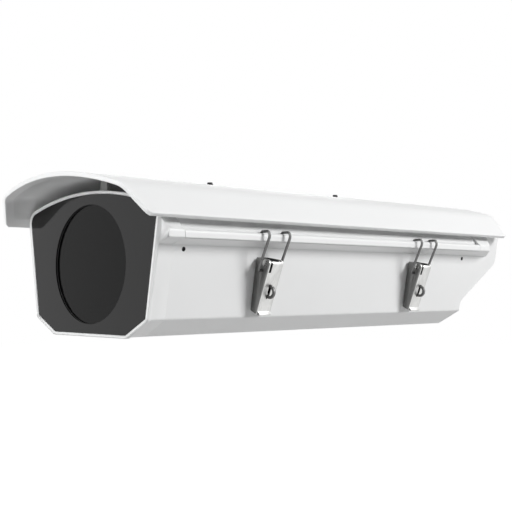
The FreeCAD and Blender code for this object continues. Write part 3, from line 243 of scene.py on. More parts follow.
def brushed_grain():
    """Fine scratches that run along Z, with their tone and roughness.

    Side darkens the colour of the faces that turn to the front or the back: painted shade, standing in for
    the shadowed wall that those faces mirror."""
    def build(tree, inputs):
        streaks = placed_noise(tree, SCRATCH_SCALE, 2.0, SCRATCH_STRETCH)
        blotch = maths(tree, "SUBTRACT", placed_noise(tree, BLOTCH_SCALE, 2.0), 0.5)
        scratch = maths(tree, "SUBTRACT", streaks, 0.5)
        shade = varied(tree, 1.0, scratch, inputs["Contrast"])
        # Painted shade: faces turned along Y lose colour by their share of Side, whatever the light
        facing = add(tree, "ShaderNodeTexCoord").outputs["Normal"]
        across = maths(tree, "ABSOLUTE", add(tree, "ShaderNodeSeparateXYZ", {0: facing}).outputs[1])
        painted_shade_factor = maths(tree, "SUBTRACT", 1.0, maths(tree, "MULTIPLY", across, inputs["Side"]))
        colour = shaded(tree, inputs["Color"], maths(tree, "MULTIPLY", shade, painted_shade_factor))
        rough = varied(tree, inputs["Roughness"], scratch, SCRATCH_ROUGHNESS)
        rough = varied(tree, rough, blotch, BLOTCH_ROUGHNESS)
        return {"Color": colour, "Height": streaks, "Roughness": rough}
    return surface_group(
        "Brushed grain", build,
        [("Color", (0.5, 0.5, 0.5, 1.0)), ("Contrast", 0.3), ("Roughness", 0.3), ("Side", 0.0)],
        [("Color", "NodeSocketColor"), ("Height", "NodeSocketFloat"), ("Roughness", "NodeSocketFloat")])


def blank_tree(owner):
    """The empty node tree of a material or a world."""
    owner.use_nodes = True
    owner.node_tree.nodes.clear()
    return owner.node_tree


def material(name, group, values, depth, **shader):
    """A material whose colour, roughness and fine relief come from a shared group. depth is the relief's."""
    if name in bpy.data.materials:
        return bpy.data.materials[name]
    made = bpy.data.materials.new(name)
    tree = blank_tree(made)
    grain = add(tree, "ShaderNodeGroup", node_tree=group)
    for key, value in values.items():
        grain.inputs[key].default_value = value
    relief = add(tree, "ShaderNodeBump", {
        "Height": grain.outputs["Height"], "Distance": depth, "Strength": 1.0})
    face = add(tree, "ShaderNodeBsdfPrincipled", {
        "Base Color": grain.outputs["Color"], "Roughness": grain.outputs["Roughness"],
        "Normal": relief.outputs[0]})
    for key, value in shader.items():
        face.inputs[key.replace("_", " ")].default_value = value
    add(tree, "ShaderNodeOutputMaterial", {"Surface": face.outputs[0]})
    return made


def rgba(colour):
    return (*colour, 1.0)


def white_coating():
    return material("White powder coat", coat_grain(), {
        "Color": rgba(colours().coating), "Size": sizes().grain, "Drift": 0.03, "Roughness": 0.42},
        0.012 * MM, Specular_IOR_Level=0.5)


def face_gloss():
    return material("Gloss black face", coat_grain(), {
        "Color": rgba(colours().face), "Size": 3 * MM, "Drift": 0.3, "Roughness": 0.09},
        0.001 * MM, IOR=1.42)


def rubber():
    return material("Black rubber", coat_grain(), {
        "Color": rgba(colours().rubber), "Size": 0.4 * MM, "Drift": 0.3, "Roughness": 0.72}, 0.03 * MM)


def grey_rubber():
    return material("Grey rubber", coat_grain(), {
        "Color": (0.42, 0.42, 0.41, 1.0), "Size": 0.4 * MM, "Drift": 0.2, "Roughness": 0.65}, 0.03 * MM)


def black_plastic():
    return material("Black plastic", coat_grain(), {
        "Color": rgba(colours().plastic), "Size": 0.25 * MM, "Drift": 0.15, "Roughness": 0.45}, 0.02 * MM)


def latch_steel():
    # Side 0.72 darkens the lever's front and back faces: painted shade
    return material("Brushed latch steel", brushed_grain(), {
        "Color": rgba(colours().steel), "Contrast": 0.35, "Roughness": 0.42, "Side": 0.72},
        0.004 * MM, Metallic=1.0)


def bracket_steel():
    # Side 0.4 darkens the bracket's front and back faces: painted shade
    return material("Dull bracket steel", brushed_grain(), {
        "Color": (0.17, 0.17, 0.17, 1.0), "Contrast": 0.3, "Roughness": 0.45, "Side": 0.4},
        0.004 * MM, Metallic=1.0)


def wire_steel():
    return material("Drawn wire", brushed_grain(), {
        "Color": rgba(colours().wire), "Contrast": 0.2, "Roughness": 0.33}, 0.003 * MM, Metallic=1.0)


def bright_steel():
    return material("Bright screw steel", brushed_grain(), {
        "Color": (0.55, 0.55, 0.54, 1.0), "Contrast": 0.2, "Roughness": 0.26}, 0.003 * MM, Metallic=1.0)


def dark_steel():
    return material("Blackened screw steel", brushed_grain(), {
        "Color": (0.035, 0.035, 0.036, 1.0), "Contrast": 0.3, "Roughness": 0.45}, 0.003 * MM, Metallic=1.0)


def bare_aluminium():
    return material("Mill aluminium", brushed_grain(), {
        "Color": (0.68, 0.69, 0.70, 1.0), "Contrast": 0.15, "Roughness": 0.38}, 0.004 * MM, Metallic=1.0)


def board_laminate():
    return material("Green laminate", coat_grain(), {
        "Color": (0.02, 0.12, 0.05, 1.0), "Size": 0.6 * MM, "Drift": 0.3, "Roughness": 0.3}, 0.01 * MM)


def terminal_plastic():
    return material("Green moulding", coat_grain(), {
        "Color": (0.06, 0.24, 0.09, 1.0), "Size": 0.3 * MM, "Drift": 0.1, "Roughness": 0.4}, 0.01 * MM)


def window_glass():
    """Tinted flat glass over the dark inside."""
    name = "Tinted window glass"
    if name in bpy.data.materials:
        return bpy.data.materials[name]
    made = bpy.data.materials.new(name)
    tree = blank_tree(made)
    haze = placed_noise(tree, HAZE_SCALE, 3.0)
    rough = varied(tree, HAZE_LEAST, haze, HAZE_ROUGHNESS)
    face = add(tree, "ShaderNodeBsdfPrincipled", {
        "Base Color": (0.02, 0.021, 0.022, 1.0), "Roughness": rough, "IOR": 1.26,
        "Transmission Weight": 1.0})
    add(tree, "ShaderNodeOutputMaterial", {"Surface": face.outputs[0]})
    return made


# Pieces

# Faces of a frame node that turn by less than this, in degrees, are one flat face
FLAT_ANGLE = 0.5


def dress(nodes, look):
    """Gives frame nodes a finish."""
    for node in nodes:
        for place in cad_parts[node].material_slots:
            place.material = look


def merged(node):
    """A frame node's shape with its points joined up. The caller frees it."""
    shape = bmesh.new()
    shape.from_mesh(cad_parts[node].data)
    bmesh.ops.remove_doubles(shape, verts=shape.verts, dist=MERGE)
    return shape


def loose_parts(node):
    """The lowest and highest corner of each separate solid in a frame node."""
    shape = merged(node)
    left = set(shape.verts)
    found = []
    while left:
        reach = [left.pop()]
        part = list(reach)
        while reach:
            for edge in reach.pop().link_edges:
                for vert in edge.verts:
                    if vert in left:
                        left.remove(vert)
                        reach.append(vert)
                        part.append(vert)
        spots = [vert.co for vert in part]
        low = Vector(min(spot[i] for spot in spots) for i in range(3))
        high = Vector(max(spot[i] for spot in spots) for i in range(3))
        found.append((low, high))
    shape.free()
    return sorted(found, key=lambda part: tuple(part[0]))


def new_mesh(name, points, edges=(), faces=()):
    """A new object in the scene, with a mesh of these points, edges and faces."""
    shape = bpy.data.meshes.new(name)
    shape.from_pydata([tuple(point) for point in points], list(edges), list(faces))
    piece = bpy.data.objects.new(name, shape)
    bpy.context.scene.collection.objects.link(piece)
    return piece


def from_shape(name, shape, look):
    """A new object from a shape, which is freed, with its material."""
    piece = new_mesh(name, [])
    shape.to_mesh(piece.data)
    shape.free()
    piece.data.materials.append(look)
    return piece


def grown(piece, tree, values):
    """Runs a geometry tree on a piece and keeps the result as a plain mesh."""
    modifier = piece.modifiers.new(tree.name, "NODES")
    modifier.node_group = tree
    names = {item.name: item.identifier for item in tree.interface.items_tree if item.in_out == "INPUT"}
    for key, value in values.items():
        modifier[names[key]] = value
    return frozen(piece)


def frozen(piece):
    """Applies a piece's modifiers."""
    bpy.context.view_layer.update()
    evaluated = piece.evaluated_get(bpy.context.evaluated_depsgraph_get())
    shape = bpy.data.meshes.new_from_object(evaluated)
    shape.name = piece.name
    piece.modifiers.clear()
    piece.data = shape
    return piece


def bevelled(piece, width, segments, angle):
    """Adds a bevel to the edges that turn by more than the angle in degrees."""
    edge = piece.modifiers.new("Edge", "BEVEL")
    edge.width = width
    edge.segments = segments
    edge.limit_method = "ANGLE"
    edge.angle_limit = math.radians(angle)


def smooth(piece, angle=35.0):
    """Smooth faces, with creases where the surface turns by more than the angle in degrees."""
    piece.data.shade_smooth()
    piece.data.set_sharp_from_angle(angle=math.radians(angle))
    return piece


def eased(node, look, body, slot, width, angle=35.0):
    """A frame node's shape with its sharp edges rounded over."""
    shape = merged(node)
    bmesh.ops.dissolve_limit(
        shape, angle_limit=math.radians(FLAT_ANGLE), verts=shape.verts, edges=shape.edges)
    piece = from_shape(node + "_eased", shape, look)
    bevelled(piece, width, 2, angle)
    frozen(piece)
    smooth(piece, angle)
    return seated(piece, body, slot, node)


def softened(node, look, body, slot, angle=62.0):
    """A frame node's shape, shaded as if its edges up to the angle were rounded."""
    piece = from_shape(node + "_softened", merged(node), look)
    smooth(piece, angle)
    weigh = piece.modifiers.new("Weigh", "WEIGHTED_NORMAL")
    weigh.keep_sharp = True
    frozen(piece)
    return seated(piece, body, slot, node)


def seated(piece, body, slot, *nodes):
    """Ties a finished piece to its body, in place of frame nodes. slot is not used."""
    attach(piece, body)
    if nodes:
        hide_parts(*nodes)
    return piece


# Geometry trees

# Cells of the sunshield's grid: from its middle to one side, along it, and across its hem
ARCH_CELLS = 80
LONG_CELLS = 66
HEM_CELLS = 5
# The raked front's lower corner is blunt, so its rounding takes this share of what it takes at the rear
FRONT_TIP_SHARE = 0.62
# Sides and rings of a screw's head, and sides of its shank
HEAD_SIDES = 32
HEAD_RINGS = 8
SHANK_SIDES = 24
# A shank's radius as a share of its head's
SHANK_SHARE = 0.5
# A screw's recess: length and width as shares of the head's radius, and depth as a share of its height
RECESS_LENGTH = 1.15
RECESS_WIDTH = 0.24
RECESS_DEPTH = 0.4
# Radians that the recess is turned by, so that it misses the corners of the head's rings
RECESS_TURN = 0.37
# Points round a wire, and points in each of its bends
WIRE_SIDES = 20
WIRE_BEND_POINTS = 10


def geometry_tree(name, inputs):
    """A geometry tree with its named inputs. Returns the tree and the inputs' sockets."""
    tree = bpy.data.node_groups.new(name, "GeometryNodeTree")
    socket(tree, "Geometry", "NodeSocketGeometry")
    for label, kind, default in inputs:
        socket(tree, label, kind, default)
    socket(tree, "Geometry", "NodeSocketGeometry", out=True)
    return tree, add(tree, "NodeGroupInput").outputs


def close_tree(tree, geometry, look):
    """Ends a tree in real geometry with its material."""
    real = add(tree, "GeometryNodeRealizeInstances", {"Geometry": geometry})
    dressed = add(tree, "GeometryNodeSetMaterial", {"Geometry": real.outputs[0], "Material": look})
    add(tree, "NodeGroupOutput", {"Geometry": dressed.outputs[0]})
    return tree


def up_by(tree, height):
    """A vector that points up by a height."""
    return add(tree, "ShaderNodeCombineXYZ", {"Z": height}).outputs[0]


def screw_tree():
    """Domed screws with a slot, a cross or neither, one on each point, standing along an axis."""
    name = "Screws"
    if name in bpy.data.node_groups:
        return bpy.data.node_groups[name]
    tree, given = geometry_tree(name, [
        ("Head Radius", "NodeSocketFloat", 3 * MM), ("Head Height", "NodeSocketFloat", 2 * MM),
        ("Dome", "NodeSocketFloat", 1 * MM), ("Crown", "NodeSocketFloat", 0.0),
        ("Fall", "NodeSocketFloat", 1.0), ("Shank Radius", "NodeSocketFloat", 1.5 * MM),
        ("Shank Length", "NodeSocketFloat", 8 * MM), ("Recess Arms", "NodeSocketInt", 2),
        ("Recess Depth", "NodeSocketFloat", 1 * MM), ("Axis", "NodeSocketVector", (0.0, 0.0, 1.0)),
        ("Material", "NodeSocketMaterial", None)])
    rim = maths(tree, "SUBTRACT", given["Head Height"], given["Dome"])
    head = add(tree, "GeometryNodeMeshCylinder", {
        "Vertices": HEAD_SIDES, "Side Segments": 1, "Fill Segments": HEAD_RINGS,
        "Radius": given["Head Radius"], "Depth": rim})
    lifted = add(tree, "GeometryNodeTransform", {
        "Geometry": head.outputs["Mesh"], "Translation": up_by(tree, maths(tree, "MULTIPLY", rim, 0.5))})
    spot = add(tree, "ShaderNodeSeparateXYZ", {0: add(tree, "GeometryNodeInputPosition").outputs[0]})
    square = maths(tree, "ADD", squared(tree, spot.outputs[0]), squared(tree, spot.outputs[1]))
    share = maths(tree, "DIVIDE", square, squared(tree, given["Head Radius"]))
    # The crown stays level, and the rest falls away to the rim
    past = maths(tree, "DIVIDE", maths(tree, "SUBTRACT", 1.0, share),
                 maths(tree, "SUBTRACT", 1.0, given["Crown"]))
    fade = maths(tree, "POWER", clamped(tree, past), given["Fall"])
    rise = maths(tree, "MULTIPLY", fade, given["Dome"])
    top = maths(tree, "GREATER_THAN", spot.outputs[2], maths(tree, "MULTIPLY", rim, 0.5))
    domed = add(tree, "GeometryNodeSetPosition", {
        "Geometry": lifted.outputs[0], "Offset": up_by(tree, maths(tree, "MULTIPLY", rise, top))})
    # The recess is cut by a bar for each arm. Half of a bar stands above the head.
    arm_size = add(tree, "ShaderNodeCombineXYZ", {
        "X": maths(tree, "MULTIPLY", given["Head Radius"], RECESS_LENGTH),
        "Y": maths(tree, "MULTIPLY", given["Head Radius"], RECESS_WIDTH),
        "Z": maths(tree, "MULTIPLY", given["Recess Depth"], 2.0)})
    arm = add(tree, "GeometryNodeMeshCube", {"Size": arm_size.outputs[0]})
    arm_points = add(tree, "GeometryNodePoints", {"Count": given["Recess Arms"]})
    turn = maths(
        tree, "MULTIPLY_ADD", add(tree, "GeometryNodeInputIndex").outputs[0], math.pi / 2, RECESS_TURN)
    arms = add(tree, "GeometryNodeInstanceOnPoints", {
        "Points": arm_points.outputs[0], "Instance": arm.outputs["Mesh"],
        "Rotation": add(tree, "ShaderNodeCombineXYZ", {"Z": turn}).outputs[0]})
    raised = add(tree, "GeometryNodeTransform", {
        "Geometry": add(tree, "GeometryNodeRealizeInstances", {"Geometry": arms.outputs[0]}).outputs[0],
        "Translation": up_by(tree, given["Head Height"])})
    cut = add(tree, "GeometryNodeMeshBoolean", {"Mesh 1": domed.outputs[0], "Mesh 2": raised.outputs[0]},
              operation="DIFFERENCE")
    shank = add(tree, "GeometryNodeMeshCylinder", {
        "Vertices": SHANK_SIDES, "Radius": given["Shank Radius"], "Depth": given["Shank Length"]})
    dropped = add(tree, "GeometryNodeTransform", {
        "Geometry": shank.outputs["Mesh"],
        "Translation": up_by(tree, maths(tree, "MULTIPLY", given["Shank Length"], -0.5))})
    whole = add(tree, "GeometryNodeJoinGeometry")
    for part in (cut.outputs["Mesh"], dropped.outputs[0]):
        tree.links.new(part, whole.inputs[0])
    aligned = add(tree, "FunctionNodeAlignRotationToVector", {"Vector": given["Axis"]}, axis="Z")
    placed = add(tree, "GeometryNodeInstanceOnPoints", {
        "Points": given["Geometry"], "Instance": whole.outputs[0], "Rotation": aligned.outputs[0]})
    return close_tree(tree, placed.outputs[0], given["Material"])


def visor_tree():
    """The sunshield's sheet: an arch with round corners and straight sides, raked at the front.

    The grid's lines are gathered in rows round the edges, where "hem" marks the folded band. "Step" is
    the ramp between the sheet and the band."""
    tree, given = geometry_tree("Sunshield sheet", [
        ("Crown Radius", "NodeSocketFloat", 0.237), ("Corner Radius", "NodeSocketFloat", 0.016),
        ("Crown End", "NodeSocketFloat", 0.3), ("Corner End", "NodeSocketFloat", 1.0),
        ("Half Length", "NodeSocketFloat", 0.11), ("Crown Height", "NodeSocketFloat", 0.11),
        ("Front", "NodeSocketFloat", -0.2), ("Rear", "NodeSocketFloat", 0.2),
        ("Rake", "NodeSocketFloat", 0.5), ("Foot Height", "NodeSocketFloat", 0.08),
        ("Tip Radius", "NodeSocketFloat", 0.006), ("Side Hem", "NodeSocketFloat", 0.009),
        ("End Hem", "NodeSocketFloat", 0.008), ("Step", "NodeSocketFloat", 0.001),
        ("Material", "NodeSocketMaterial", None)])
    grid = add(tree, "GeometryNodeMeshGrid", {
        "Size X": 2.0, "Size Y": 1.0, "Vertices X": 2 * ARCH_CELLS + 1, "Vertices Y": LONG_CELLS + 1})
    spot = add(tree, "ShaderNodeSeparateXYZ", {0: add(tree, "GeometryNodeInputPosition").outputs[0]})
    side = maths(tree, "SIGN", spot.outputs[0])
    across = maths(tree, "MULTIPLY", maths(tree, "ABSOLUTE", spot.outputs[0]), ARCH_CELLS)
    along = maths(tree, "MULTIPLY", maths(tree, "ADD", spot.outputs[1], 0.5), LONG_CELLS)

    def stretched(cell, first, cells, length):
        """The length covered so far by a run of cells that starts at cell first."""
        share = maths(tree, "DIVIDE", maths(tree, "SUBTRACT", cell, first), cells)
        return maths(tree, "MULTIPLY", clamped(tree, share), length)

    inner = ARCH_CELLS - HEM_CELLS - 1
    run = total(
        tree,
        stretched(across, 0, inner, maths(tree, "SUBTRACT", given["Half Length"], maths(
            tree, "ADD", given["Side Hem"], given["Step"]))),
        stretched(across, inner, 1, given["Step"]),
        stretched(across, inner + 1, HEM_CELLS, given["Side Hem"]))
    # Arc lengths at the end of the crown and of the corner
    crown_run = maths(tree, "MULTIPLY", given["Crown Radius"], given["Crown End"])
    turn = maths(tree, "SUBTRACT", given["Corner End"], given["Crown End"])
    corner_run = maths(tree, "MULTIPLY", given["Corner Radius"], turn)
    in_crown = maths(tree, "MINIMUM", run, crown_run)
    in_corner = maths(
        tree, "MINIMUM", maths(tree, "MAXIMUM", maths(tree, "SUBTRACT", run, crown_run), 0.0), corner_run)
    past = maths(
        tree, "MAXIMUM", maths(tree, "SUBTRACT", run, maths(tree, "ADD", crown_run, corner_run)), 0.0)
    angle = maths(tree, "DIVIDE", in_crown, given["Crown Radius"])
    bend = maths(tree, "ADD", given["Crown End"], maths(tree, "DIVIDE", in_corner, given["Corner Radius"]))

    def leg(operation, radius, high, low):
        """radius times the difference of a sine or cosine at two angles."""
        return maths(tree, "MULTIPLY", radius, maths(
            tree, "SUBTRACT", maths(tree, operation, high), maths(tree, operation, low)))

    out = total(
        tree,
        maths(tree, "MULTIPLY", given["Crown Radius"], maths(tree, "SINE", angle)),
        leg("SINE", given["Corner Radius"], bend, given["Crown End"]),
        maths(tree, "MULTIPLY", past, maths(tree, "COSINE", given["Corner End"])))
    fall = total(
        tree,
        maths(tree, "MULTIPLY", given["Crown Radius"], maths(
            tree, "SUBTRACT", 1.0, maths(tree, "COSINE", angle))),
        leg("COSINE", given["Corner Radius"], given["Crown End"], bend),
        maths(tree, "MULTIPLY", past, maths(tree, "SINE", given["Corner End"])))
    height = maths(tree, "SUBTRACT", given["Crown Height"], fall)
    # At the feet both ends follow a round corner
    above = maths(tree, "SUBTRACT", height, given["Foot Height"])
    left = maths(tree, "MAXIMUM", maths(tree, "SUBTRACT", given["Tip Radius"], above), 0.0)
    square = maths(tree, "SUBTRACT", squared(tree, given["Tip Radius"]), squared(tree, left))
    inset = maths(tree, "SUBTRACT", given["Tip Radius"], maths(
        tree, "SQRT", maths(tree, "MAXIMUM", square, 0.0)))
    front = total(
        tree, given["Front"], maths(tree, "MULTIPLY", fall, given["Rake"]),
        maths(tree, "MULTIPLY", inset, FRONT_TIP_SHARE))
    rear = maths(tree, "SUBTRACT", given["Rear"], inset)
    middle = maths(tree, "SUBTRACT", maths(tree, "SUBTRACT", rear, front), maths(
        tree, "MULTIPLY", maths(tree, "ADD", given["End Hem"], given["Step"]), 2.0))
    last = LONG_CELLS - HEM_CELLS
    station = total(
        tree, front,
        stretched(along, 0, HEM_CELLS, given["End Hem"]),
        stretched(along, HEM_CELLS, 1, given["Step"]),
        stretched(along, HEM_CELLS + 1, last - HEM_CELLS - 2, middle),
        stretched(along, last - 1, 1, given["Step"]),
        stretched(along, last, HEM_CELLS, given["End Hem"]))
    at_side = maths(tree, "GREATER_THAN", across, inner + 0.5)
    at_front = maths(tree, "LESS_THAN", along, HEM_CELLS + 0.5)
    at_rear = maths(tree, "GREATER_THAN", along, last - 0.5)
    marked = add(tree, "GeometryNodeStoreNamedAttribute", {
        "Geometry": grid.outputs["Mesh"], "Name": "hem",
        "Value": maths(tree, "MAXIMUM", maths(tree, "MAXIMUM", at_side, at_front), at_rear)})
    place = add(tree, "ShaderNodeCombineXYZ", {
        "X": maths(tree, "MULTIPLY", out, side), "Y": station, "Z": height})
    bent = add(tree, "GeometryNodeSetPosition", {
        "Geometry": marked.outputs[0], "Position": place.outputs[0]})
    return close_tree(tree, bent.outputs[0], given["Material"])


def wire_tree():
    """Round wire along a line of points, bent at each by that point's own radius."""
    name = "Bent wire"
    if name in bpy.data.node_groups:
        return bpy.data.node_groups[name]
    tree, given = geometry_tree(name, [
        ("Radius", "NodeSocketFloat", 1 * MM), ("Material", "NodeSocketMaterial", None)])
    line = add(tree, "GeometryNodeMeshToCurve", {"Mesh": given["Geometry"]})
    radius = add(tree, "GeometryNodeInputNamedAttribute", {"Name": "bend"}, data_type="FLOAT")
    bent = add(tree, "GeometryNodeFilletCurve", {
        "Curve": line.outputs[0], "Count": WIRE_BEND_POINTS, "Radius": radius.outputs[0]}, mode="POLY")
    ring = add(tree, "GeometryNodeCurvePrimitiveCircle", {
        "Resolution": WIRE_SIDES, "Radius": given["Radius"]})
    tube = add(tree, "GeometryNodeCurveToMesh", {
        "Curve": bent.outputs[0], "Profile Curve": ring.outputs[0], "Fill Caps": True})
    return close_tree(tree, tube.outputs[0], given["Material"])


def screws(node, look, body, slot, head, arms=2, dome=0.55, crown=0.0, fall=1.0):
    """Detailed upright screws in place of a frame node's.

    head is the head's share of a screw's length, dome the dome's share of the head, crown the level
    share of the dome, and fall how steeply the rest drops. arms is 2 for a cross and 0 for no recess."""
    parts = loose_parts(node)
    low, high = parts[0]
    length = high.z - low.z
    radius = (high.x - low.x) / 2
    tall = length * head
    seats = [(low + high) / 2 + UP * (length / 2 - tall) for low, high in parts]
    piece = new_mesh(node + "_detailed", seats)
    grown(piece, screw_tree(), {
        "Head Radius": radius, "Head Height": tall, "Dome": tall * dome, "Crown": crown, "Fall": fall,
        "Shank Radius": radius * SHANK_SHARE, "Shank Length": length - tall, "Recess Arms": arms,
        "Recess Depth": tall * RECESS_DEPTH, "Axis": tuple(UP), "Material": look})
    smooth(piece)
    return seated(piece, body, slot, node)


class HOUSING_OT_shells(bpy.types.Operator):
    """Powder coat on the trough, its end castings and the lid"""

    bl_idname = "housing.shells"
    bl_label = "Coat the shells"

    def execute(self, context):
        dress(["base_shell", "rear_cap", "lid_shell"], white_coating())
        softened("front_collar", white_coating(), "housing", "white_coating")
        return {"FINISHED"}


# The ramp between the sunshield's sheet and its hem, and how far its edges are rounded
HEM_STEP = 3.5 * MM
SHEET_EDGE = 0.5 * MM


class HOUSING_OT_sunshield(bpy.types.Operator):
    """Rolled sunshield sheet with a hem folded in round its edges"""

    bl_idname = "housing.sunshield"
    bl_label = "Roll the sunshield"

    def execute(self, context):
        size = sizes()
        low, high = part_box("visor")
        arch = visor_arch(high.x, low.z, high.z, size)
        piece = grown(new_mesh("sunshield", []), visor_tree(), {
            "Crown Radius": size.crown_radius, "Corner Radius": size.corner_radius,
            "Crown End": arch["crown_end"], "Corner End": size.side_slope,
            "Half Length": arch["half_length"], "Crown Height": high.z, "Front": low.y, "Rear": high.y,
            "Rake": size.rake, "Foot Height": low.z, "Tip Radius": size.tip_radius,
            "Side Hem": size.hem / math.sin(size.side_slope), "End Hem": size.hem * math.hypot(1, size.rake),
            "Step": HEM_STEP, "Material": white_coating()})
        # Full thickness on the hem, and the plain sheet's share of it elsewhere
        folded = piece.vertex_groups.new(name="hem")
        plain = size.sheet / (size.sheet + size.fold)
        for index, mark in enumerate(piece.data.attributes["hem"].data):
            folded.add([index], 1.0 if mark.value > 0.5 else plain, "REPLACE")
        wall = piece.modifiers.new("Wall", "SOLIDIFY")
        wall.thickness = size.sheet + size.fold
        wall.vertex_group = "hem"
        wall.offset = -1.0
        wall.use_even_offset = True
        bevelled(piece, SHEET_EDGE, 3, 60)
        frozen(piece)
        smooth(piece)
        seated(piece, "lid", "white_coating", "visor")
        return {"FINISHED"}


def visor_arch(half_width, foot, crown, size):
    """Where the sunshield's crown turns into its corners, and half its length round the arch."""
    crown_r, corner_r, slope = size.crown_radius, size.corner_radius, size.side_slope
    # The corner's centre lies on the line one corner radius inside the straight side
    inward = Vector((-math.sin(slope), -math.cos(slope)))
    base = Vector((half_width, foot)) + inward * corner_r
    rise = Vector((-math.cos(slope), math.sin(slope)))
    centre_z = crown - crown_r
    offset = Vector((base.x, base.y - centre_z))
    b = offset.dot(rise)
    c = offset.length_squared - (crown_r - corner_r) ** 2
    step = -b + math.sqrt(b * b - c)
    centre = base + rise * step
    crown_end = math.atan2(centre.x, centre.y - centre_z)
    half_length = crown_r * crown_end + corner_r * (slope - crown_end) + step
    return {"crown_end": crown_end, "half_length": half_length}


class HOUSING_OT_window(bpy.types.Operator):
    """Gloss face plate, tinted window, its seal and its clamp"""

    bl_idname = "housing.window"
    bl_label = "Fit the window"

    def execute(self, context):
        dress(["front_plate"], face_gloss())
        dress(["window_glass"], window_glass())
        dress(["window_seal"], rubber())
        dress(["window_clamp"], black_plastic())
        return {"FINISHED"}


# How far the edges of the latches' brackets and levers are rounded
BRACKET_EDGE = 0.2 * MM
LEVER_EDGE = 0.25 * MM


class HOUSING_OT_latches(bpy.types.Operator):
    """Brushed levers and brackets, their pins and the wire hooks"""

    bl_idname = "housing.latches"
    bl_label = "Finish the latches"

    def execute(self, context):
        for name in ("front", "rear"):
            eased("latch_bracket_" + name, bracket_steel(), "housing", "latch_steel", BRACKET_EDGE)
            eased("latch_lever_" + name, latch_steel(), "lever_" + name, "latch_steel", LEVER_EDGE)
            dress(["latch_pin_" + name], bright_steel())
            latch_wire(name)
        return {"FINISHED"}


# One arm of a hook, from its tip over the lid's rim to its foot in the lever: X, Z and bend radius, in
# millimetres
HOOK_ARM = ((81.95, 71.75, 0.0), (81.95, 74.0, 1.5), (90.8, 74.0, 2.6), (90.2, 69.6, 4.0), (78.9, 46.3, 2.0))
# Millimetres between a hook's two arms
HOOK_SPACING = 21.3


def latch_wire(name):
    """A spring wire bent round in place of a frame hook."""
    low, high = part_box("latch_hook_" + name)
    middle = (low.y + high.y) / 2
    half = HOOK_SPACING * MM / 2
    arm = [(Vector((x * MM, 0, z * MM)), bend * MM) for x, z, bend in HOOK_ARM]
    line = [(spot + BACK * (middle - half), bend) for spot, bend in arm]
    line += [(spot + BACK * (middle + half), bend) for spot, bend in reversed(arm)]
    piece = new_mesh("latch_wire_" + name, [spot for spot, _ in line],
                     [(i, i + 1) for i in range(len(line) - 1)])
    bends = piece.data.attributes.new("bend", "FLOAT", "POINT")
    for point, (_, bend) in zip(bends.data, line):
        point.value = bend
    grown(piece, wire_tree(), {"Radius": sizes().wire / 2, "Material": wire_steel()})
    smooth(piece, 60)
    return seated(piece, "hook_" + name, "wire_steel", "latch_hook_" + name)


class HOUSING_OT_screws(bpy.types.Operator):
    """Every screw, with its recess where it shows one"""

    bl_idname = "housing.screws"
    bl_label = "Drive the screws"

    def execute(self, context):
        screws("visor_screws", dark_steel(), "lid", "dark_steel", head=0.123, arms=0, dome=0.8,
               crown=0.26, fall=8.0)
        screws("tray_screws", bright_steel(), "housing", "steel", head=0.206)
        screws("board_screws", bright_steel(), "housing", "steel", head=0.21)
        dress(["plate_screws", "clamp_screws", "latch_screws"], bright_steel())
        dress(["side_screws"], dark_steel())
        return {"FINISHED"}


class HOUSING_OT_rubber(bpy.types.Operator):
    """Seals, washers, spacers and the pad"""

    bl_idname = "housing.rubber"
    bl_label = "Lay the rubber"

    def execute(self, context):
        dress(["lid_gasket", "visor_washers", "gland_seals"], rubber())
        dress(["visor_pad"], grey_rubber())
        dress(["visor_spacers"], black_plastic())
        return {"FINISHED"}


class HOUSING_OT_hinge(bpy.types.Operator):
    """Hinge pins and their rings"""

    bl_idname = "housing.hinge"
    bl_label = "Pin the hinge"

    def execute(self, context):
        dress(["hinge_pins", "hinge_clips"], bright_steel())
        return {"FINISHED"}


class HOUSING_OT_inside(bpy.types.Operator):
    """Camera tray, its screw and the terminals"""

    bl_idname = "housing.inside"
    bl_label = "Fit the inside"

    def execute(self, context):
        dress(["camera_tray"], bare_aluminium())
        dress(["camera_screw", "camera_washer"], bright_steel())
        dress(["terminal_board"], board_laminate())
        dress(["terminal_block"], terminal_plastic())
        return {"FINISHED"}


class HOUSING_OT_glands(bpy.types.Operator):
    """Cable glands"""

    bl_idname = "housing.glands"
    bl_label = "Screw in the glands"

    def execute(self, context):
        dress(["gland_bodies", "gland_nuts", "gland_locknuts"], black_plastic())
        return {"FINISHED"}


# Studio

# The photo's camera: its place, the degrees that it is turned left from a view along Y and tilted up, and
# its lens and sensor in millimetres
CAMERA_PLACE = Vector((577.73, -598.15, 35.42)) * MM
CAMERA_TURN = 45.09
CAMERA_PITCH = 1.719
CAMERA_LENS = 69.047
CAMERA_SENSOR = 36.0
# The floor's half width and its drop below the housing, in metres, and its tone
FLOOR_REACH = 6.0
FLOOR_DROP = 0.42
FLOOR_TONE = 0.56
# Metres from the middle over which the floor shows the shadow, and how much of its glow gives way to the
# lamps there
SHADOW_REACH = 1.1
SHADOW_DEPTH = 0.62
# The surround's strength as a light
AMBIENT = 0.02
# Each softbox: name, place, width and height in metres, and watts. All face the housing.
LAMPS = (
    ("Key", (1.9, 1.05, 1.2), (1.0, 0.9), 52.0),
    ("Front", (-0.6, -1.9, 0.2), (1.2, 1.0), 10.0),
    ("High front", (0.1, -1.9, 0.9), (1.2, 1.0), 25.0),
    ("Back", (-1.5, 1.2, 0.15), (1.0, 0.9), 14.0),
)


def seen_directly(tree):
    """1 on camera, mirror and glass rays, and 0 on the light that falls on things."""
    path = add(tree, "ShaderNodeLightPath")
    seen = maths(tree, "MAXIMUM", path.outputs["Is Camera Ray"], path.outputs["Is Glossy Ray"])
    return maths(tree, "MAXIMUM", seen, path.outputs["Is Transmission Ray"])


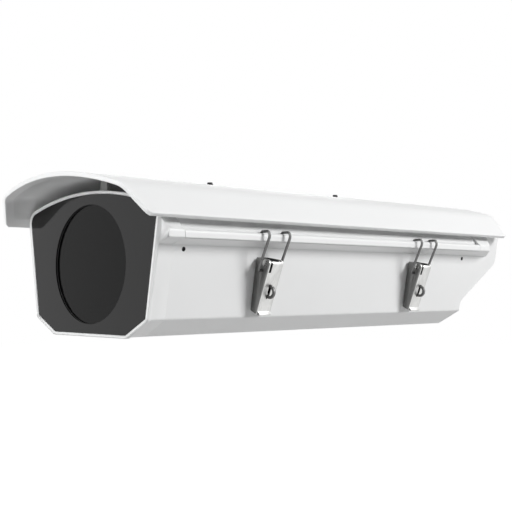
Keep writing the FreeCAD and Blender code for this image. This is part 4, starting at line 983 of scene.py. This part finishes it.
def floor_material():
    """A matt floor that looks white. Near the housing less of that is glow, so its shadow shows."""
    made = bpy.data.materials.new("Pale floor")
    tree = blank_tree(made)
    path = add(tree, "ShaderNodeLightPath")
    spot = add(tree, "ShaderNodeTexCoord").outputs["Object"]
    reach = add(tree, "ShaderNodeVectorMath", {0: spot}, operation="LENGTH").outputs["Value"]
    share = maths(tree, "DIVIDE", reach, SHADOW_REACH)
    near = maths(tree, "MAXIMUM", maths(tree, "SUBTRACT", 1.0, squared(tree, share)), 0.0)
    strength = maths(tree, "SUBTRACT", 1.0, maths(tree, "MULTIPLY", near, SHADOW_DEPTH))
    matt = add(tree, "ShaderNodeBsdfDiffuse", {"Color": (FLOOR_TONE, FLOOR_TONE, FLOOR_TONE, 1.0)})
    glow = add(tree, "ShaderNodeEmission", {
        "Color": (1.0, 1.0, 1.0, 1.0),
        "Strength": maths(tree, "MULTIPLY", strength, path.outputs["Is Camera Ray"])})
    lit = add(tree, "ShaderNodeAddShader", {0: matt.outputs[0], 1: glow.outputs[0]})
    white = add(tree, "ShaderNodeEmission", {"Color": (1.0, 1.0, 1.0, 1.0), "Strength": 1.0})
    mirrored = maths(tree, "MAXIMUM", path.outputs["Is Glossy Ray"], path.outputs["Is Transmission Ray"])
    mix = add(tree, "ShaderNodeMixShader", {0: mirrored, 1: lit.outputs[0], 2: white.outputs[0]})
    add(tree, "ShaderNodeOutputMaterial", {"Surface": mix.outputs[0]})
    return made


def studio_world():
    """A white surround, dimmer as a light than as a background."""
    world = bpy.data.worlds.new("Studio")
    tree = blank_tree(world)
    share = seen_directly(tree)
    strength = maths(tree, "ADD", maths(tree, "MULTIPLY", share, 1.0 - AMBIENT), AMBIENT)
    back = add(tree, "ShaderNodeBackground", {"Color": (1.0, 1.0, 1.0, 1.0), "Strength": strength})
    add(tree, "ShaderNodeOutputWorld", {"Surface": back.outputs[0]})
    bpy.context.scene.world = world


def softbox(name, place, size, watts):
    """A rectangular lamp that faces the middle of the scene."""
    lamp = bpy.data.lights.new(name, "AREA")
    lamp.shape = "RECTANGLE"
    lamp.size, lamp.size_y = size
    lamp.energy = watts
    lit = bpy.data.objects.new(name, lamp)
    lit.location = place
    lit.rotation_euler = (-Vector(place)).to_track_quat("-Z", "Y").to_euler()
    bpy.context.scene.collection.objects.link(lit)


class HOUSING_OT_studio(bpy.types.Operator):
    """Floor, soft lamps, white surround and the photo's camera"""

    bl_idname = "housing.studio"
    bl_label = "Set the studio"

    def execute(self, context):
        corners = ((-1, -1), (1, -1), (1, 1), (-1, 1))
        floor = new_mesh("floor", [(x * FLOOR_REACH, y * FLOOR_REACH, -FLOOR_DROP) for x, y in corners],
                         faces=[(0, 1, 2, 3)])
        floor.data.materials.append(floor_material())
        studio_world()
        for lamp in LAMPS:
            softbox(*lamp)
        camera = bpy.data.objects.new("Camera", bpy.data.cameras.new("Camera"))
        camera.data.lens = CAMERA_LENS
        camera.data.sensor_width = CAMERA_SENSOR
        turn, pitch = math.radians(CAMERA_TURN), math.radians(CAMERA_PITCH)
        level = math.cos(pitch)
        forward = Vector((-math.sin(turn) * level, math.cos(turn) * level, math.sin(pitch)))
        camera.location = CAMERA_PLACE
        camera.rotation_euler = forward.to_track_quat("-Z", "Y").to_euler()
        context.scene.collection.objects.link(camera)
        context.scene.camera = camera
        context.scene.view_settings.view_transform = "Standard"
        return {"FINISHED"}


OPERATORS = (
    HOUSING_OT_shells, HOUSING_OT_sunshield, HOUSING_OT_window, HOUSING_OT_latches, HOUSING_OT_screws,
    HOUSING_OT_rubber, HOUSING_OT_hinge, HOUSING_OT_inside, HOUSING_OT_glands, HOUSING_OT_studio,
)


class HOUSING_PT_panel(bpy.types.Panel):
    """The housing's pieces, in the order they are made"""

    bl_idname = "HOUSING_PT_panel"
    bl_label = "Camera housing"
    bl_space_type = "VIEW_3D"
    bl_region_type = "UI"
    bl_category = "Camera housing"

    def draw(self, context):
        for group in (context.scene.housing_sizes, context.scene.housing_colours):
            for key in group.bl_rna.properties.keys():
                if key not in ("rna_type", "name"):
                    self.layout.prop(group, key)
        for operator in OPERATORS:
            self.layout.operator(operator.bl_idname)


CLASSES = (HousingSizes, HousingColours, *OPERATORS, HOUSING_PT_panel)


def register():
    for each in CLASSES:
        bpy.utils.register_class(each)
    bpy.types.Scene.housing_sizes = PointerProperty(type=HousingSizes)
    bpy.types.Scene.housing_colours = PointerProperty(type=HousingColours)


def unregister():
    del bpy.types.Scene.housing_sizes
    del bpy.types.Scene.housing_colours
    for each in reversed(CLASSES):
        bpy.utils.unregister_class(each)


def main():
    register()
    bpy.ops.housing.shells()
    bpy.ops.housing.sunshield()
    bpy.ops.housing.window()
    bpy.ops.housing.latches()
    bpy.ops.housing.screws()
    bpy.ops.housing.rubber()
    bpy.ops.housing.hinge()
    bpy.ops.housing.inside()
    bpy.ops.housing.glands()
    bpy.ops.housing.studio()


if __name__ == "__main__":
    main()
